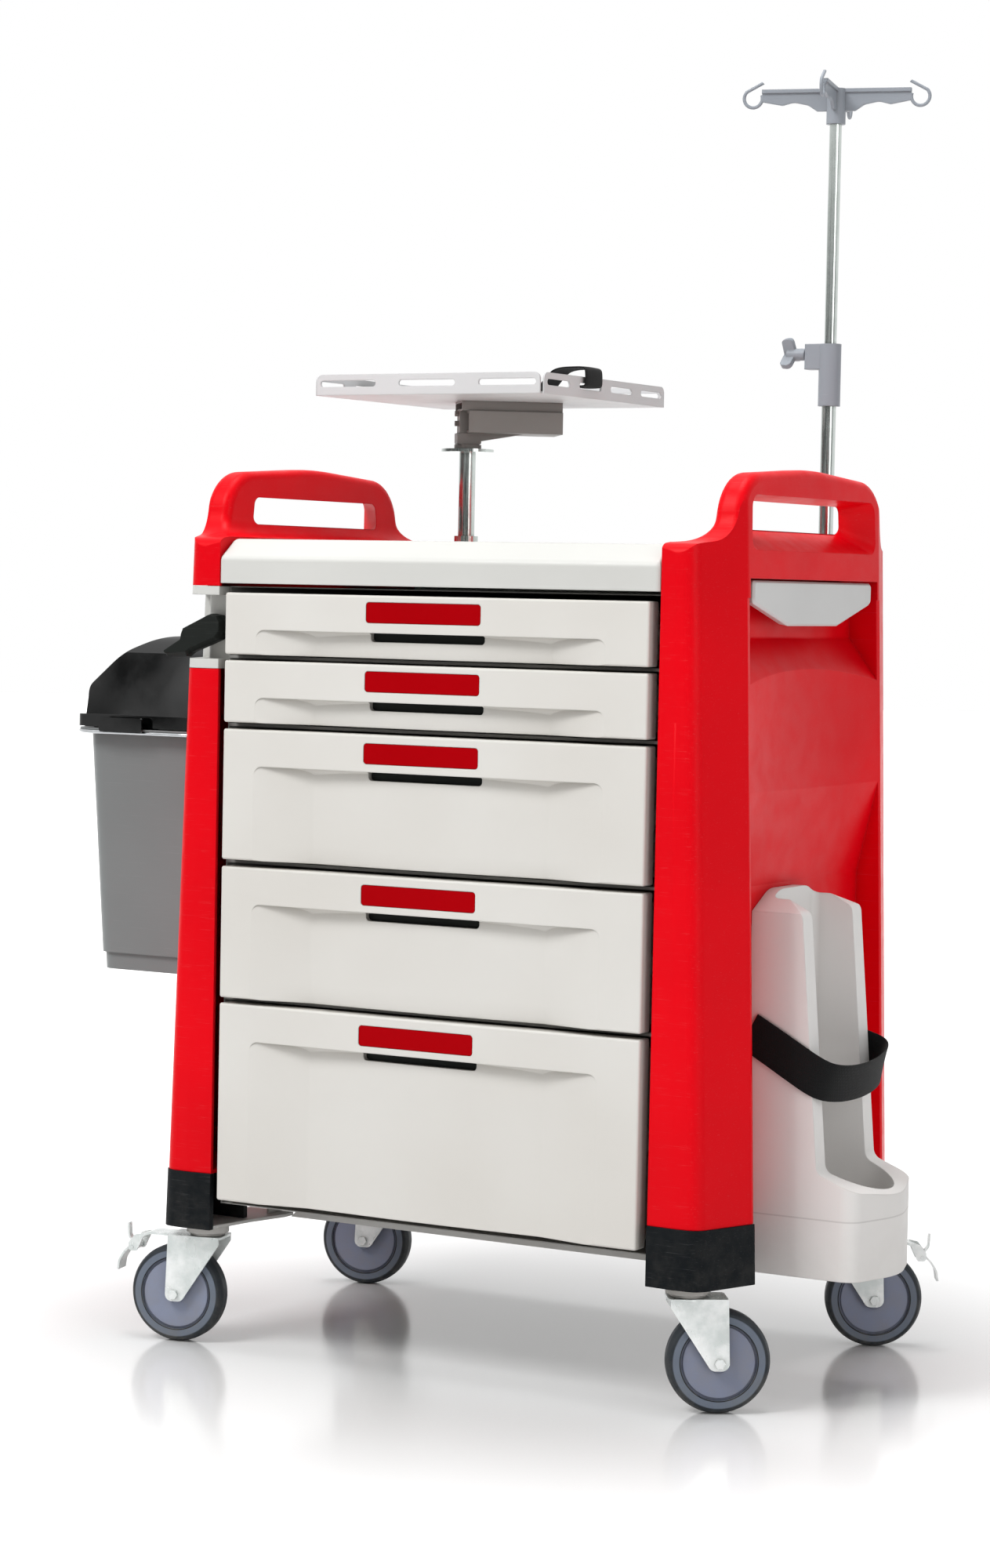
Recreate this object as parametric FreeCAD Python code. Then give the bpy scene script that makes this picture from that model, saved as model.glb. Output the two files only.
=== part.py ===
"""Hospital crash cart: five drawers between moulded side columns, on four castors.

Millimetres. Z is up and Z = 0 is the floor. X runs across the drawers and Y runs
from the front (-) to the back (+). The origin is the middle of the castor pattern.
"""
import FreeCAD, Part
import math
import os

V = FreeCAD.Vector

HALF_DEPTH = 277.5        # front and back faces of the side columns; pieces set back from them follow it
BEYOND_X = 600.0          # clear of the cart's body, for the blocks that cut or keep a piece of it
BEYOND_Y = 400.0
BEYOND_Z = 1200.0

# ---------------------------------------------------------------- castors and base
CASTOR_X = 343.0          # swivel axes, half the spacing across the cart
CASTOR_Y = HALF_DEPTH - 48.0  # half the spacing front to back
WHEEL_R = 62.5
WHEEL_W = 32.0
TREAD_R = 9.0             # rounded edge of the tyre's tread
TYRE_SHOULDER_R = 5.0
HUB_R = 46.0
HUB_RECESS = 2.0          # hub face below the tyre wall
AXLE_R = 4.0
AXLE_FIT = 0.06           # radial running clearance of wheel and swivel
TRAIL = 37.0
FORK_GAP = 4.0            # tyre wall to fork leg
FORK_T = 3.0
FORK_TOP_Z = 139.0
RACE_R = 27.0
SWIVEL_GAP = 0.4
BASE_Z = 154.0            # underside of the corner bumpers and castor plates
CASTOR_PLATE_T = 4.0
PLATE_TONGUE = [(310.5, HALF_DEPTH - 15.5, 4), (300.0, HALF_DEPTH - 80.5, 30), (284.0, HALF_DEPTH - 137.5, 0),
                (284.0, HALF_DEPTH - 157.5, 0), (350.0, HALF_DEPTH - 157.5, 0), (366.0, HALF_DEPTH - 127.5, 0),
                (366.0, HALF_DEPTH - 62.5, 0)]
PLATE_BOLT = (322.0, HALF_DEPTH - 87.5)
BASE_FRONT_Y = 127.5 - HALF_DEPTH     # front wall of the base tray, behind the drawers
BASE_BACK = 16.0          # its back wall inside the columns' back faces
BASE_HALF = 305.5
BASE_WALL = 3.0
BASE_WALL_HALF = 268.0    # the front wall's half length at its lower edge
KINGPIN_R = 5.0
TURNS = {"front_left": 192.7, "front_right": 34.2, "rear_left": 194.6, "rear_right": 29.6}
BRAKED = ("front_left", "rear_right")
PEDAL_PIVOT = (98.0, 118.0)   # along the trail and up
PEDAL_PIN_R = 2.0
PEDAL_HALF = 12.0

# ---------------------------------------------------------------- body of the cart
INNER_X = 309.5           # inner face of the side columns
RIDGE_R = 40.0            # soft ridge down the middle of a column's face
FACE_BOW = 3.0            # how far the face falls back from the ridge to the drawers
CORNER_BOW = 2.0          # and to the corner
COLUMN_TOP_X = 348.0      # corner between face and flank, at TOP_Z
COLUMN_LOW_X = 376.0      # the same at BUMPER_Z
COLUMN_CORNER_R = 20.0
FLANK_TOP_X = 378.0       # outermost line of the column, at TOP_Z
FLANK_LOW_X = 408.0       # the same at BUMPER_Z
FLANK_Y = HALF_DEPTH - 85.5   # where the slanted corner meets the flank
FLANK_R = 14.0
BUMPER_Z = 226.0          # top of the corner bumpers
BUMPER_PROUD = 1.5
BUMPER_WALL = 7.0
BUMPER_END_Y = 87.5 - HALF_DEPTH      # how far the bumper wraps along the flank
TOP_Z = 1124.0            # crest of the push handles
SHOULDER_Z = TOP_Z - 94.0     # column top beside the worktop
SHOULDER_R = 15.0
HANDLE_INNER_X = 344.0
HANDLE_NECK = (HALF_DEPTH - 63.5, 40.0)   # foot of the handle's leaning end: distance from the middle, radius
HANDLE_CREST = (HALF_DEPTH - 79.5, 12.0, 60.0)    # its top: distance from the middle, drop, radius
HANDLE_BOW_R = 700.0      # soft bow of the crest between its two ends
HANDLE_EDGE_R = 11.0
# hand hole: half length low and high, low and high edge below the crest, radius
HOLE_INSIDE = (HALF_DEPTH - 125.5, HALF_DEPTH - 132.5, -77.0, -42.0, 11.0)
HOLE_OUTSIDE = (HALF_DEPTH - 91.5, HALF_DEPTH - 91.5, -105.0, -34.0, 17.0)
PANEL_WALL = 5.0
PANEL_FIT = 0.5           # moulding to moulding
DISH_DEPTH = 12.0         # hollow of the flank between its two rims
DISH_Y = FLANK_Y

# ---------------------------------------------------------------- cabinet and worktop
CARCASS_T = 1.5
CARCASS_FRONT_Y = 25.5 - HALF_DEPTH
CARCASS_LOW_Z = 186.0
CARCASS_TOP_Z = TOP_Z - 156.0
CARCASS_BACK = 4.0        # back panel inside the columns' back faces
TIE_BAR_W = 10.0
TIE_BAR_H = 4.0
WORKTOP_TOP_Z = SHOULDER_Z - 2.5
WORKTOP_LOW_Z = WORKTOP_TOP_Z - 56.0
WORKTOP_FOLD_Z = WORKTOP_TOP_Z - 23.5
WORKTOP_EDGE_R = 6.0
WORKTOP_SLOPE = 31.0      # how far the sloped front edge runs back
WORKTOP_WALL = 4.0
WORKTOP_RIM = 22.0
WORKTOP_SINK = 6.0

# ---------------------------------------------------------------- drawers
DRAWER_BANDS = {1: (883.0, 960.0), 2: (798.0, 875.7), 3: (626.0, 790.0),
                4: (452.0, 617.5), 5: (195.0, 445.0)}
FRONT_HALF = 297.6
FRONT_Y = -HALF_DEPTH - 2.5
FRONT_T = 24.0
FRONT_EDGE_R = 3.0
PULL_TOP = 46.0           # lip height above the pull recess
PULL_LEFT = -251.0
PULL_RIGHT = 241.0
PULL_SLANT = 80.0
PULL_DEPTH = 9.5          # recess depth at its middle
PULL_END_DEPTH = 15.0     # recess depth where the slanted ends meet the back
PULL_BACK_R = 2000.0
PULL_CORNER_R = 12.0
PULL_CEILING_R = 9.0
LABEL_MID = -10.0
LABEL_L = 161.0
LABEL_H = 25.0
LABEL_DROPS = {1: 8.6, 2: 8.6, 3: 11.0, 4: 12.0, 5: 12.6}     # drawer top to label top
LABEL_R = 4.0
LABEL_T = 1.6
LABEL_SUNK = 0.3
LABEL_FIT = 0.4
GRIP_H = 24.0
GRIP_SHOW = 11.0          # grip below the lip
GRIP_T = 2.5
GRIP_BACK_T = 2.0
GRIP_R = 5.0
BOX_WALL = 2.5
BOX_BACK_Y = HALF_DEPTH - 59.5
BOX_TOP_DROP = 14.0
BOX_RAISE = 8.0
RUNNER_H = 36.0
RUNNER_T = 2.0
RUNNER_LIP = 12.0         # depth of the fixed member
RUNNER_SIDE_GAP = 1.0     # drawer box to middle member
BOX_SIDE_GAP = 4.5        # drawer box to fixed member
RUNNER_FRONT_Y = 31.5 - HALF_DEPTH
RUNNER_LEN = 2 * HALF_DEPTH - 95.0
RUNNER_FIT = 0.5
DRAWER_TRAVEL = 400.0

# ---------------------------------------------------------------- pull-out side shelf
SHELF_POCKET_LOW = 918.0
SHELF_POCKET_TOP = 989.0
SHELF_POCKET_X = 345.0
SHELF_POCKET_Y = HALF_DEPTH - 91.5
SHELF_SLOPE_Z = 862.0
SHELF_FACE_X = 381.0
SHELF_FACE_T = 14.0
SHELF_HALF = SHELF_POCKET_Y - 14.0
SHELF_FOOT_HALF = 72.0
SHELF_LOW_Z = 933.0
SHELF_KNEE_Z = 960.0
SHELF_TOP_Z = 987.0
BOARD_HALF = SHELF_POCKET_Y - 26.0
BOARD_Z = 973.5
BOARD_T = 9.0
BOARD_LEN = 400.0
BOARD_FIT = 1.0
GUIDE_T = 6.0             # board guides on top of the cabinet
GUIDE_ROOF = 4.0
GUIDE_REACH = 90.0
SIDE_SHELF_TRAVEL = 300.0

# ---------------------------------------------------------------- cylinder holder
HOLDER_Y = -34.0
HOLDER_HALF = 86.0
HOLDER_BACK_X = 363.0
HOLDER_LOW_Z = 154.0
HOLDER_TOP_Z = 590.0
HOLDER_ARCH = 25.0
HOLDER_ARCH_HALF = 40.0   # flat top of the arch
HOLDER_ARCH_R = 50.0
HOLDER_TIP_X = 430.0      # wall edge at the top
HOLDER_KNEE_X = 456.0     # wall edge where the cup starts
CUP_RIM_Z = 281.0
CUP_LIP_Z = 262.0
CUP_CORNER_X = 505.0
CUP_REACH_X = 529.0
CUP_BORE_R = 59.0
CUP_BORE_X = 456.0
CUP_FLOOR_T = 12.0
TROUGH_X = 378.0
TROUGH_CORNER_R = 9.0
HOLDER_POCKET_TOP = 745.0
HOLDER_POCKET_Z = 620.0   # where the sloping pocket reaches full depth
HOLDER_POCKET_Y = HALF_DEPTH - 89.5
HOLDER_SCREW_Y = 44.0
HOLDER_SCREW_Z = 568.7
STRAP_W = 50.0
STRAP_T = 2.5
STRAP_Z = 395.0
STRAP_RISE = 18.0         # its ends at the flank sit higher
STRAP_SAG = 22.0          # and its loop hangs lower

# ---------------------------------------------------------------- waste bin
BIN_X = -505.0
BIN_Y = -15.0
BIN_HALF_X = 94.0
BIN_HALF_Y = 145.0
BIN_LOW_Z = 458.0
BIN_TOP_Z = 778.0
BIN_TAPER = 14.0
BIN_WALL = 2.5
BIN_CORNER = 26.0
BIN_STEP_Z = 480.0
BIN_STEP = 4.0
BIN_FLANGE = 16.0         # how far the bin's rim stands out over the hoop
HOOP_R = 2.5
HOOP_Z = 773.2
LID_RIM_H = 16.0
LID_PROUD = 9.0
LID_TOP_Z = 901.0
LID_WALL = 2.5
LID_PIN_R = 3.0
LID_HINGE = (147.0, 787.0)    # Y and Z of the hinge pin
BIN_KNUCKLES = [(-582.0, -574.0), (-509.0, -501.0), (-436.0, -428.0)]
LID_KNUCKLES = [(-573.6, -560.0), (-450.0, -436.4)]

# ---------------------------------------------------------------- lock lever
LOCK_LOW_Z = 864.0
LOCK_TOP_Z = 968.0
LOCK_DEEP_Y = 82.5 - HALF_DEPTH
LOCK_FLANGE = 11.0
LOCK_WEB_Y = 31.5 - HALF_DEPTH
LOCK_WEB_END = 36.0       # the web behind the lever ends this far outside the column's inner face
LOCK_WEB_R = 14.0         # and bends back with this radius
LOCK_BACK_T = 8.0
LEVER_X = -327.0
LEVER_Z = 915.0
LEVER_T = 18.0
LEVER_FRONT_Y = 5.5 - HALF_DEPTH
LEVER_PIN_R = 4.0
LEVER_NOSE = 8.0          # bevelled part of the lever's thickness
LEVER_PIN_COVER = 5.0
LEVER_PLAN = [(-402, 884), (-372.5, 901), (-371.5, 907), (-368, 915), (-327.5, 933), (-315, 931), (-308.5, 924),
              (-308.5, 911), (-315, 900.5), (-358, 883.5), (-365, 878), (-394, 877.5)]
LEVER_FACE = [(-397, 884), (-370.5, 899.5), (-369.5, 906), (-366.5, 913.5), (-327.5, 931.5), (-317, 929.5),
              (-312.5, 922.5), (-312.5, 912), (-319, 904), (-356, 889), (-362, 884.5), (-392, 881.5)]
LEVER_BEND_R = 1.5

# ---------------------------------------------------------------- infusion pole
POLE_X = 258.7
POLE_Y = HALF_DEPTH + 20.5
POLE_LOW_Z = 560.0
POLE_TOP_Z = 1224.0
POLE_R = 9.5
ROD_R = 8.0
ROD_WALL = 1.5
ROD_FIT = 0.08
ROD_LOW_Z = 700.0
HEAD_LOW_Z = 1584.0
HEAD_H = 46.0
HEAD_R = 12.5
HEAD_TURN = 15.0
HOOK_REACH = 110.0
HOOK_R = 12.0
HOOK_Z = HEAD_LOW_Z + 35.0
HOOK_WIRE_R = 2.2
CLAMP_TOP_Z = 1299.0
CLAMP_R = 14.5
CLAMP_BLOCK_Z = 1266.0    # underside of the block that carries the knob
CLAMP_BLOCK_REACH = 33.0  # pole's axis to the knob's seat
CLAMP_BLOCK_HALF = 11.0
KNOB_Z = 1286.0
KNOB_R = 23.0
KNOB_LEN = 32.0
KNOB_SCREW_R = 3.0
KNOB_HUB_R = 8.0
WING_T = 7.0
POLE_BRACKETS_Z = (600.0, 930.0)
BRACKET_H = 30.0
BRACKET_WALL = 4.0        # collar round the tube
BRACKET_FOOT_HALF = 26.0
BRACKET_FOOT_T = 5.0
BRACKET_STEM_HALF = 9.0
BRACKET_SCREW_X = 19.0
ROD_TRAVEL_UP = 450.0

# ---------------------------------------------------------------- monitor shelf
POST_X = -195.0
POST_Y = HALF_DEPTH - 137.5
POST_R = 11.0
POST_WALL = 2.0
POST_TOP_Z = WORKTOP_TOP_Z + 124.5
POST_FOOT_R = 38.0
POST_FOOT_T = 5.0
DISC_R = 35.0
DISC_T = 4.0
TRAY_MID_X = -159.0
TRAY_MID_Y = POST_Y
TRAY_HALF = 171.0
TRAY_LIP = 27.0
TRAY_T = 2.5
TRAY_SLOT_H = 8.0
TRAY_GAP = 4.0            # notch between neighbouring flanges
TRAY_LONG_SLOTS = (-119.0, 0.0, 119.0)
TRAY_SHORT_SLOTS = (-129.0, -43.0, 43.0, 129.0)
TIE_W = 48.0              # webbing strap across the tray
TIE_T = 1.8
TIE_RISE = 12.0           # its fold above the flange
PIVOT_R = 7.0
PIVOT_LEN = 22.0
ARM_PLATE_Z = POST_TOP_Z + 10.0
ARM_TURN = 37.6
BLOCK_LEN = 130.0
BLOCK_W = 76.0
BLOCK_LOW_Z = ARM_PLATE_Z + 15.0
BLOCK_H = 29.0
BLOCK_WALL = 3.0
TRAY_Z = BLOCK_LOW_Z + 42.0
GUSSET_W = 30.0
GUSSET_REACH = 72.0


# ================================================================ shape helpers
def box(x0, x1, y0, y1, z0, z1):
    """Block between two opposite corners."""
    return Part.makeBox(x1 - x0, y1 - y0, z1 - z0, V(x0, y0, z0))


def cylinder(radius, base, along, length):
    """Round bar from a base point along a direction."""
    return Part.makeCylinder(radius, length, V(*base), V(*along))


def ring(outer, inner, base, along, length):
    """Straight tube."""
    return cylinder(outer, base, along, length).cut(cylinder(inner, base, along, length))


def place(plane, u, v, w):
    """Point (u, v) of a drawing plane at height w above it."""
    return {"XY": V(u, v, w), "XZ": V(u, w, v), "YZ": V(w, u, v)}[plane]


def outline(corners, plane, level):
    """Closed wire through (u, v, radius) corners, each rounded by its radius."""
    points = [place(plane, u, v, level) for u, v, r in corners]
    stops = []
    for i, (u, v, radius) in enumerate(corners):
        here = points[i]
        before = (points[i - 1] - here).normalize()
        after = (points[(i + 1) % len(points)] - here).normalize()
        half = before.getAngle(after) / 2
        if radius <= 0 or abs(half - math.pi / 2) < 1e-4:
            stops.append((here, None, here))
            continue
        run = radius / math.tan(half)
        middle = (before + after).normalize() * (radius / math.sin(half) - radius)
        stops.append((here + before * run, here + middle, here + after * run))
    edges = []
    for i, (start, middle, end) in enumerate(stops):
        if middle is not None:
            edges.append(Part.Arc(start, middle, end).toShape())
        following = stops[(i + 1) % len(stops)][0]
        if end.distanceToPoint(following) > 1e-6:
            edges.append(Part.makeLine(end, following))
    return Part.Wire(edges)


def prism(corners, plane, low, high):
    """Rounded outline in a plane, extruded between two levels."""
    face = Part.Face(outline(corners, plane, low))
    return face.extrude(place(plane, 0, 0, high - low))


def ruled(low_corners, high_corners, plane, low, high):
    """Straight-sided transition between two outlines of the same make-up."""
    wires = [outline(low_corners, plane, low), outline(high_corners, plane, high)]
    return Part.makeLoft(wires, True, True)


def band(path, thickness, plane, low, high):
    """Strip of even thickness along an open (u, v, radius) path, extruded between two levels."""
    half = thickness / 2
    sides = []
    for way in (1, -1):
        side = []
        for i, (u, v, radius) in enumerate(path):
            u0, v0 = path[max(i - 1, 0)][:2]
            u1, v1 = path[min(i + 1, len(path) - 1)][:2]
            enter = V(u - u0, v - v0, 0) if i > 0 else V(u1 - u, v1 - v, 0)
            leave = V(u1 - u, v1 - v, 0) if i < len(path) - 1 else enter
            enter = V(-enter.y, enter.x, 0).normalize()
            leave = V(-leave.y, leave.x, 0).normalize()
            shift = (enter + leave) * (way * half / (1 + enter.dot(leave)))
            turn = enter.cross(leave).z
            bend = radius - way * half if turn > 0 else radius + way * half
            side.append((u + shift.x, v + shift.y, bend if radius > 0 else 0))
        sides.append(side)
    return prism(sides[0] + sides[1][::-1], plane, low, high)


def turned(shape, angle, x=0.0, y=0.0):
    """Copy turned about a vertical axis through the origin, then moved."""
    copy = shape.copy()
    copy.rotate(V(0, 0, 0), V(0, 0, 1), angle)
    copy.translate(V(x, y, 0))
    return copy


def hexagon(across, base, along, length):
    """Hexagonal bolt head."""
    start = V(*base)
    axis = V(*along).normalize()
    side = axis.cross(V(0, 0, 1)) if abs(axis.z) < 0.9 else V(1, 0, 0)
    other = axis.cross(side)
    points = []
    for i in range(7):
        a = math.radians(60 * i)
        points.append(start + (side * math.cos(a) + other * math.sin(a)) * (across / math.sqrt(3)))
    return Part.Face(Part.makePolygon(points)).extrude(axis * length)


def rectangle(u0, u1, v0, v1, radius):
    """Corners of a rounded rectangle."""
    return [(u0, v0, radius), (u1, v0, radius), (u1, v1, radius), (u0, v1, radius)]


def fuse(shapes):
    """One solid from touching shapes."""
    shapes = list(shapes)
    return shapes[0].multiFuse(shapes[1:]).removeSplitter()


def mirrored(shape):
    """Left-hand copy of a right-hand shape."""
    return shape.mirror(V(0, 0, 0), V(1, 0, 0))


def rounded_edges(shape, radius, test):
    """Fillet the edges whose middle point passes a test."""
    edges = [e for e in shape.Edges if test(e)]
    return shape.makeFillet(radius, edges) if edges else shape


def edge_middle(edge):
    """Point half-way along an edge."""
    return edge.valueAt((edge.FirstParameter + edge.LastParameter) / 2)


# ================================================================ side columns
def lean(low, top, z):
    """Value at height z of a line that runs from BUMPER_Z to TOP_Z."""
    return low + (top - low) * (z - BUMPER_Z) / (TOP_Z - BUMPER_Z)


def column_plan(z, grow=0.0, inner=INNER_X):
    """Outline of a side column seen from above, at one height."""
    corner_x = lean(COLUMN_LOW_X, COLUMN_TOP_X, z) + grow * 0.6
    flank_x = lean(FLANK_LOW_X, FLANK_TOP_X, z) + grow
    edge_y = HALF_DEPTH + grow
    front = [(inner, FACE_BOW - edge_y, 0), ((INNER_X + corner_x) / 2, -edge_y, RIDGE_R),
             (corner_x, CORNER_BOW - edge_y, COLUMN_CORNER_R + grow), (flank_x, -FLANK_Y, FLANK_R + grow)]
    return front + [(x, -y, r) for x, y, r in reversed(front)]


def column_mass(low, high, grow=0.0, inner=INNER_X):
    """Solid filling of a side column between two heights."""
    return ruled(column_plan(low, grow, inner), column_plan(high, grow, inner), "XY", low, high)


def handle_profile():
    """Side view of a column with its push handle."""
    foot_y, foot_r = HANDLE_NECK
    crest_y, crest_drop, crest_r = HANDLE_CREST
    front = [(-HALF_DEPTH, BUMPER_Z, 0), (-HALF_DEPTH, SHOULDER_Z - 3, SHOULDER_R),
             (-foot_y, SHOULDER_Z + 5, foot_r), (-crest_y, TOP_Z - crest_drop, crest_r)]
    back = [(-y, z, r) for y, z, r in reversed(front)]
    return front + [(0, TOP_Z, HANDLE_BOW_R)] + back


def front_profile():
    """Front view of a column: the handle stands outward of the worktop."""
    return [(INNER_X - 1, BUMPER_Z, 0), (INNER_X - 1, SHOULDER_Z, 0), (INNER_X + 3, SHOULDER_Z, 0),
            (HANDLE_INNER_X - 2, SHOULDER_Z + 3, 26), (HANDLE_INNER_X, TOP_Z + 9, 0),
            (FLANK_LOW_X + 9, TOP_Z + 9, 0), (FLANK_LOW_X + 9, BUMPER_Z, 0)]


def handle_opening():
    """Flared hand hole through a push handle."""
    wires = []
    for x, hole in ((HANDLE_INNER_X - 3, HOLE_INSIDE), (FLANK_TOP_X + 10, HOLE_OUTSIDE)):
        low_half, high_half, low, high, radius = hole
        corners = [(-low_half, TOP_Z + low, radius), (low_half, TOP_Z + low, radius),
                   (high_half, TOP_Z + high, radius), (-high_half, TOP_Z + high, radius)]
        wires.append(outline(corners, "YZ", x))
    return Part.makeLoft(wires, True, True)


def flank_dish(grow=0.0):
    """Shallow hollow down the flank between its two rims."""
    radius = (DISH_Y ** 2 + DISH_DEPTH ** 2) / (2 * DISH_DEPTH)
    low_x = lean(FLANK_LOW_X, FLANK_TOP_X, BUMPER_Z)
    high_x = lean(FLANK_LOW_X, FLANK_TOP_X, SHOULDER_Z - 13)
    direction = V(high_x - low_x, 0, SHOULDER_Z - 13 - BUMPER_Z)
    centre = V(low_x + radius - DISH_DEPTH, 0, BUMPER_Z)
    return Part.makeCylinder(radius + grow, direction.Length, centre, direction)


def shelf_pocket(grow=0.0):
    """Recess for the pull-out shelf, with the slope below it."""
    flank = lean(FLANK_LOW_X, FLANK_TOP_X, SHELF_SLOPE_Z)
    side = [(SHELF_POCKET_X - grow, SHELF_POCKET_TOP + grow, 0),
            (SHELF_POCKET_X - grow, SHELF_POCKET_LOW - grow, 6),
            (flank + 6, SHELF_SLOPE_Z - 8 - grow, 0), (flank + 40, SHELF_SLOPE_Z - 8 - grow, 0),
            (flank + 40, SHELF_POCKET_TOP + grow, 0)]
    half = SHELF_POCKET_Y + grow
    return prism(side, "XZ", -half, half)


def holder_pocket(grow=0.0):
    """Recess that deepens downwards behind the cylinder holder, from the hollow flank to a flat floor."""
    floor = HOLDER_BACK_X - PANEL_FIT - grow
    half = HOLDER_POCKET_Y + grow
    far = FLANK_LOW_X + 40
    rim = lean(FLANK_LOW_X, FLANK_TOP_X, HOLDER_POCKET_TOP) + 1 - grow
    top = outline([(rim, -half, 0), (rim, half, 0), (far, half, 0), (far, -half, 0)], "XY", HOLDER_POCKET_TOP)
    hollow = Part.Arc(V(rim, -half, HOLDER_POCKET_TOP), V(rim - DISH_DEPTH, 0, HOLDER_POCKET_TOP),
                      V(rim, half, HOLDER_POCKET_TOP)).toShape()
    top = Part.Wire([hollow] + top.Edges[1:])
    low = [(floor, -half, 0), (floor, half, 0), (far, half, 0), (far, -half, 0)]
    slope = Part.makeLoft([outline(low, "XY", HOLDER_POCKET_Z), top], True, True)
    return slope.fuse(prism(low, "XY", BUMPER_Z - 5, HOLDER_POCKET_Z))


def crest_edge(edge):
    """True for the long edges over a push handle and down its ends."""
    middle = edge_middle(edge)
    if abs(edge.tangentAt(edge.FirstParameter).x) > 0.5:
        return False
    if middle.x > (HANDLE_INNER_X + FLANK_TOP_X) / 2:
        return middle.z > SHOULDER_Z - 10
    return middle.x > HANDLE_INNER_X - 3 and middle.z > SHOULDER_Z + 34


def panel_blank():
    """Column, flank and handle before their openings, with the handle's edges rounded."""
    top = TOP_Z + 8
    far_y = HALF_DEPTH + 5

    def plan(z):
        flank = lean(FLANK_LOW_X, FLANK_TOP_X, z)
        return [(INNER_X - 5, -far_y, 0), (flank, -far_y, 0), (flank, far_y, 0), (INNER_X - 5, far_y, 0)]

    slab = ruled(plan(BUMPER_Z), plan(top), "XY", BUMPER_Z, top)
    slab = slab.common(prism(handle_profile(), "YZ", INNER_X - 2, FLANK_LOW_X + 10))
    slab = slab.common(prism(front_profile(), "XZ", -HALF_DEPTH - 1, HALF_DEPTH + 1))
    slab = rounded_edges(slab, HANDLE_EDGE_R, crest_edge)
    return slab.common(column_mass(BUMPER_Z, top))


def side_panel(pockets):
    """Moulded column, flank and handle in one hollow piece, right-hand side."""
    outer = panel_blank().cut(handle_opening()).cut(flank_dish())
    web_z = WORKTOP_FOLD_Z - 8
    hollow = column_mass(BUMPER_Z + PANEL_WALL, web_z, -PANEL_WALL, INNER_X - 1)
    hollow = hollow.fuse(column_mass(web_z, SHOULDER_Z - 3 - PANEL_WALL, -PANEL_WALL, INNER_X + PANEL_WALL))
    hollow = hollow.cut(flank_dish(PANEL_WALL))
    for pocket in pockets:
        outer = outer.cut(pocket())
        hollow = hollow.cut(pocket(PANEL_WALL))
    return outer.cut(hollow)


def corner_bumper(side_x, side_y):
    """Rubber-edged corner block under a column."""
    low = column_plan(BASE_Z, BUMPER_PROUD)
    high = column_plan(BUMPER_Z, BUMPER_PROUD)
    block = ruled(low, high, "XY", BASE_Z, BUMPER_Z - 0.2)
    block = block.common(box(0, BEYOND_X, -BEYOND_Y, BUMPER_END_Y, 0, BEYOND_Z))
    pocket = column_mass(BASE_Z - 1, BUMPER_Z + 1, -BUMPER_WALL, INNER_X - 1)
    block = block.cut(pocket.common(box(0, BEYOND_X, -BEYOND_Y, BUMPER_END_Y - BUMPER_WALL, 0, BEYOND_Z)))
    tongue_x = PLATE_TONGUE[-1][0] + PANEL_FIT
    block = block.cut(box(0, tongue_x, BUMPER_END_Y - BUMPER_WALL - 1, BUMPER_END_Y + 1, 0,
                          BASE_Z + CASTOR_PLATE_T + PANEL_FIT))
    if side_y > 0:
        block = block.mirror(V(0, 0, 0), V(0, 1, 0))
    return block if side_x > 0 else mirrored(block)


def build_sides(parts):
    right = side_panel([shelf_pocket, holder_pocket])
    slot_half = BOARD_HALF + BOARD_FIT
    right = right.cut(box(INNER_X - 5, SHELF_POCKET_X + 3, -slot_half, slot_half,
                          BOARD_Z - BOARD_FIT, BOARD_Z + BOARD_T + BOARD_FIT))
    left = mirrored(side_panel([]))
    left = left.cut(box(-500, -INNER_X + 5, -BEYOND_Y, LOCK_DEEP_Y, LOCK_LOW_Z, LOCK_TOP_Z))
    parts["side_panel_right"] = right
    parts["side_panel_left"] = left
    corners = [corner_bumper(x, y) for x in (1, -1) for y in (-1, 1)]
    parts["corner_bumpers"] = Part.makeCompound(corners)


# ================================================================ base and cabinet
def castor_mount(x, y):
    """Mounting plate in a corner bumper with its tongue, race, kingpin and bolt."""
    side = math.copysign(1, x)
    end = math.copysign(1, y)
    high = BASE_Z + CASTOR_PLATE_T
    corner = prism(column_plan(high, -BUMPER_WALL - PANEL_FIT, INNER_X + 1), "XY", BASE_Z, high)
    corner = corner.common(box(0, BEYOND_X, BUMPER_WALL + PANEL_FIT - BUMPER_END_Y, BEYOND_Y, BASE_Z, high))
    tongue = prism(PLATE_TONGUE, "XY", BASE_Z, high)
    plate = corner.fuse(tongue).removeSplitter()
    if side < 0:
        plate = mirrored(plate)
    if end < 0:
        plate = plate.mirror(V(0, 0, 0), V(0, 1, 0))
    race_z = FORK_TOP_Z + SWIVEL_GAP
    bolt_x, bolt_y = PLATE_BOLT
    return fuse([plate, cylinder(RACE_R, (x, y, race_z + 4), (0, 0, 1), high - race_z - 4),
                 cylinder(RACE_R - 5, (x, y, race_z), (0, 0, 1), 5),
                 cylinder(KINGPIN_R, (x, y, race_z - 14), (0, 0, 1), 15),
                 hexagon(15, (x, y, race_z - 14), (0, 0, 1), 13.6 - FORK_T - SWIVEL_GAP),
                 hexagon(8, (side * bolt_x, end * bolt_y, BASE_Z - 4), (0, 0, 1), 5)])


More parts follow.
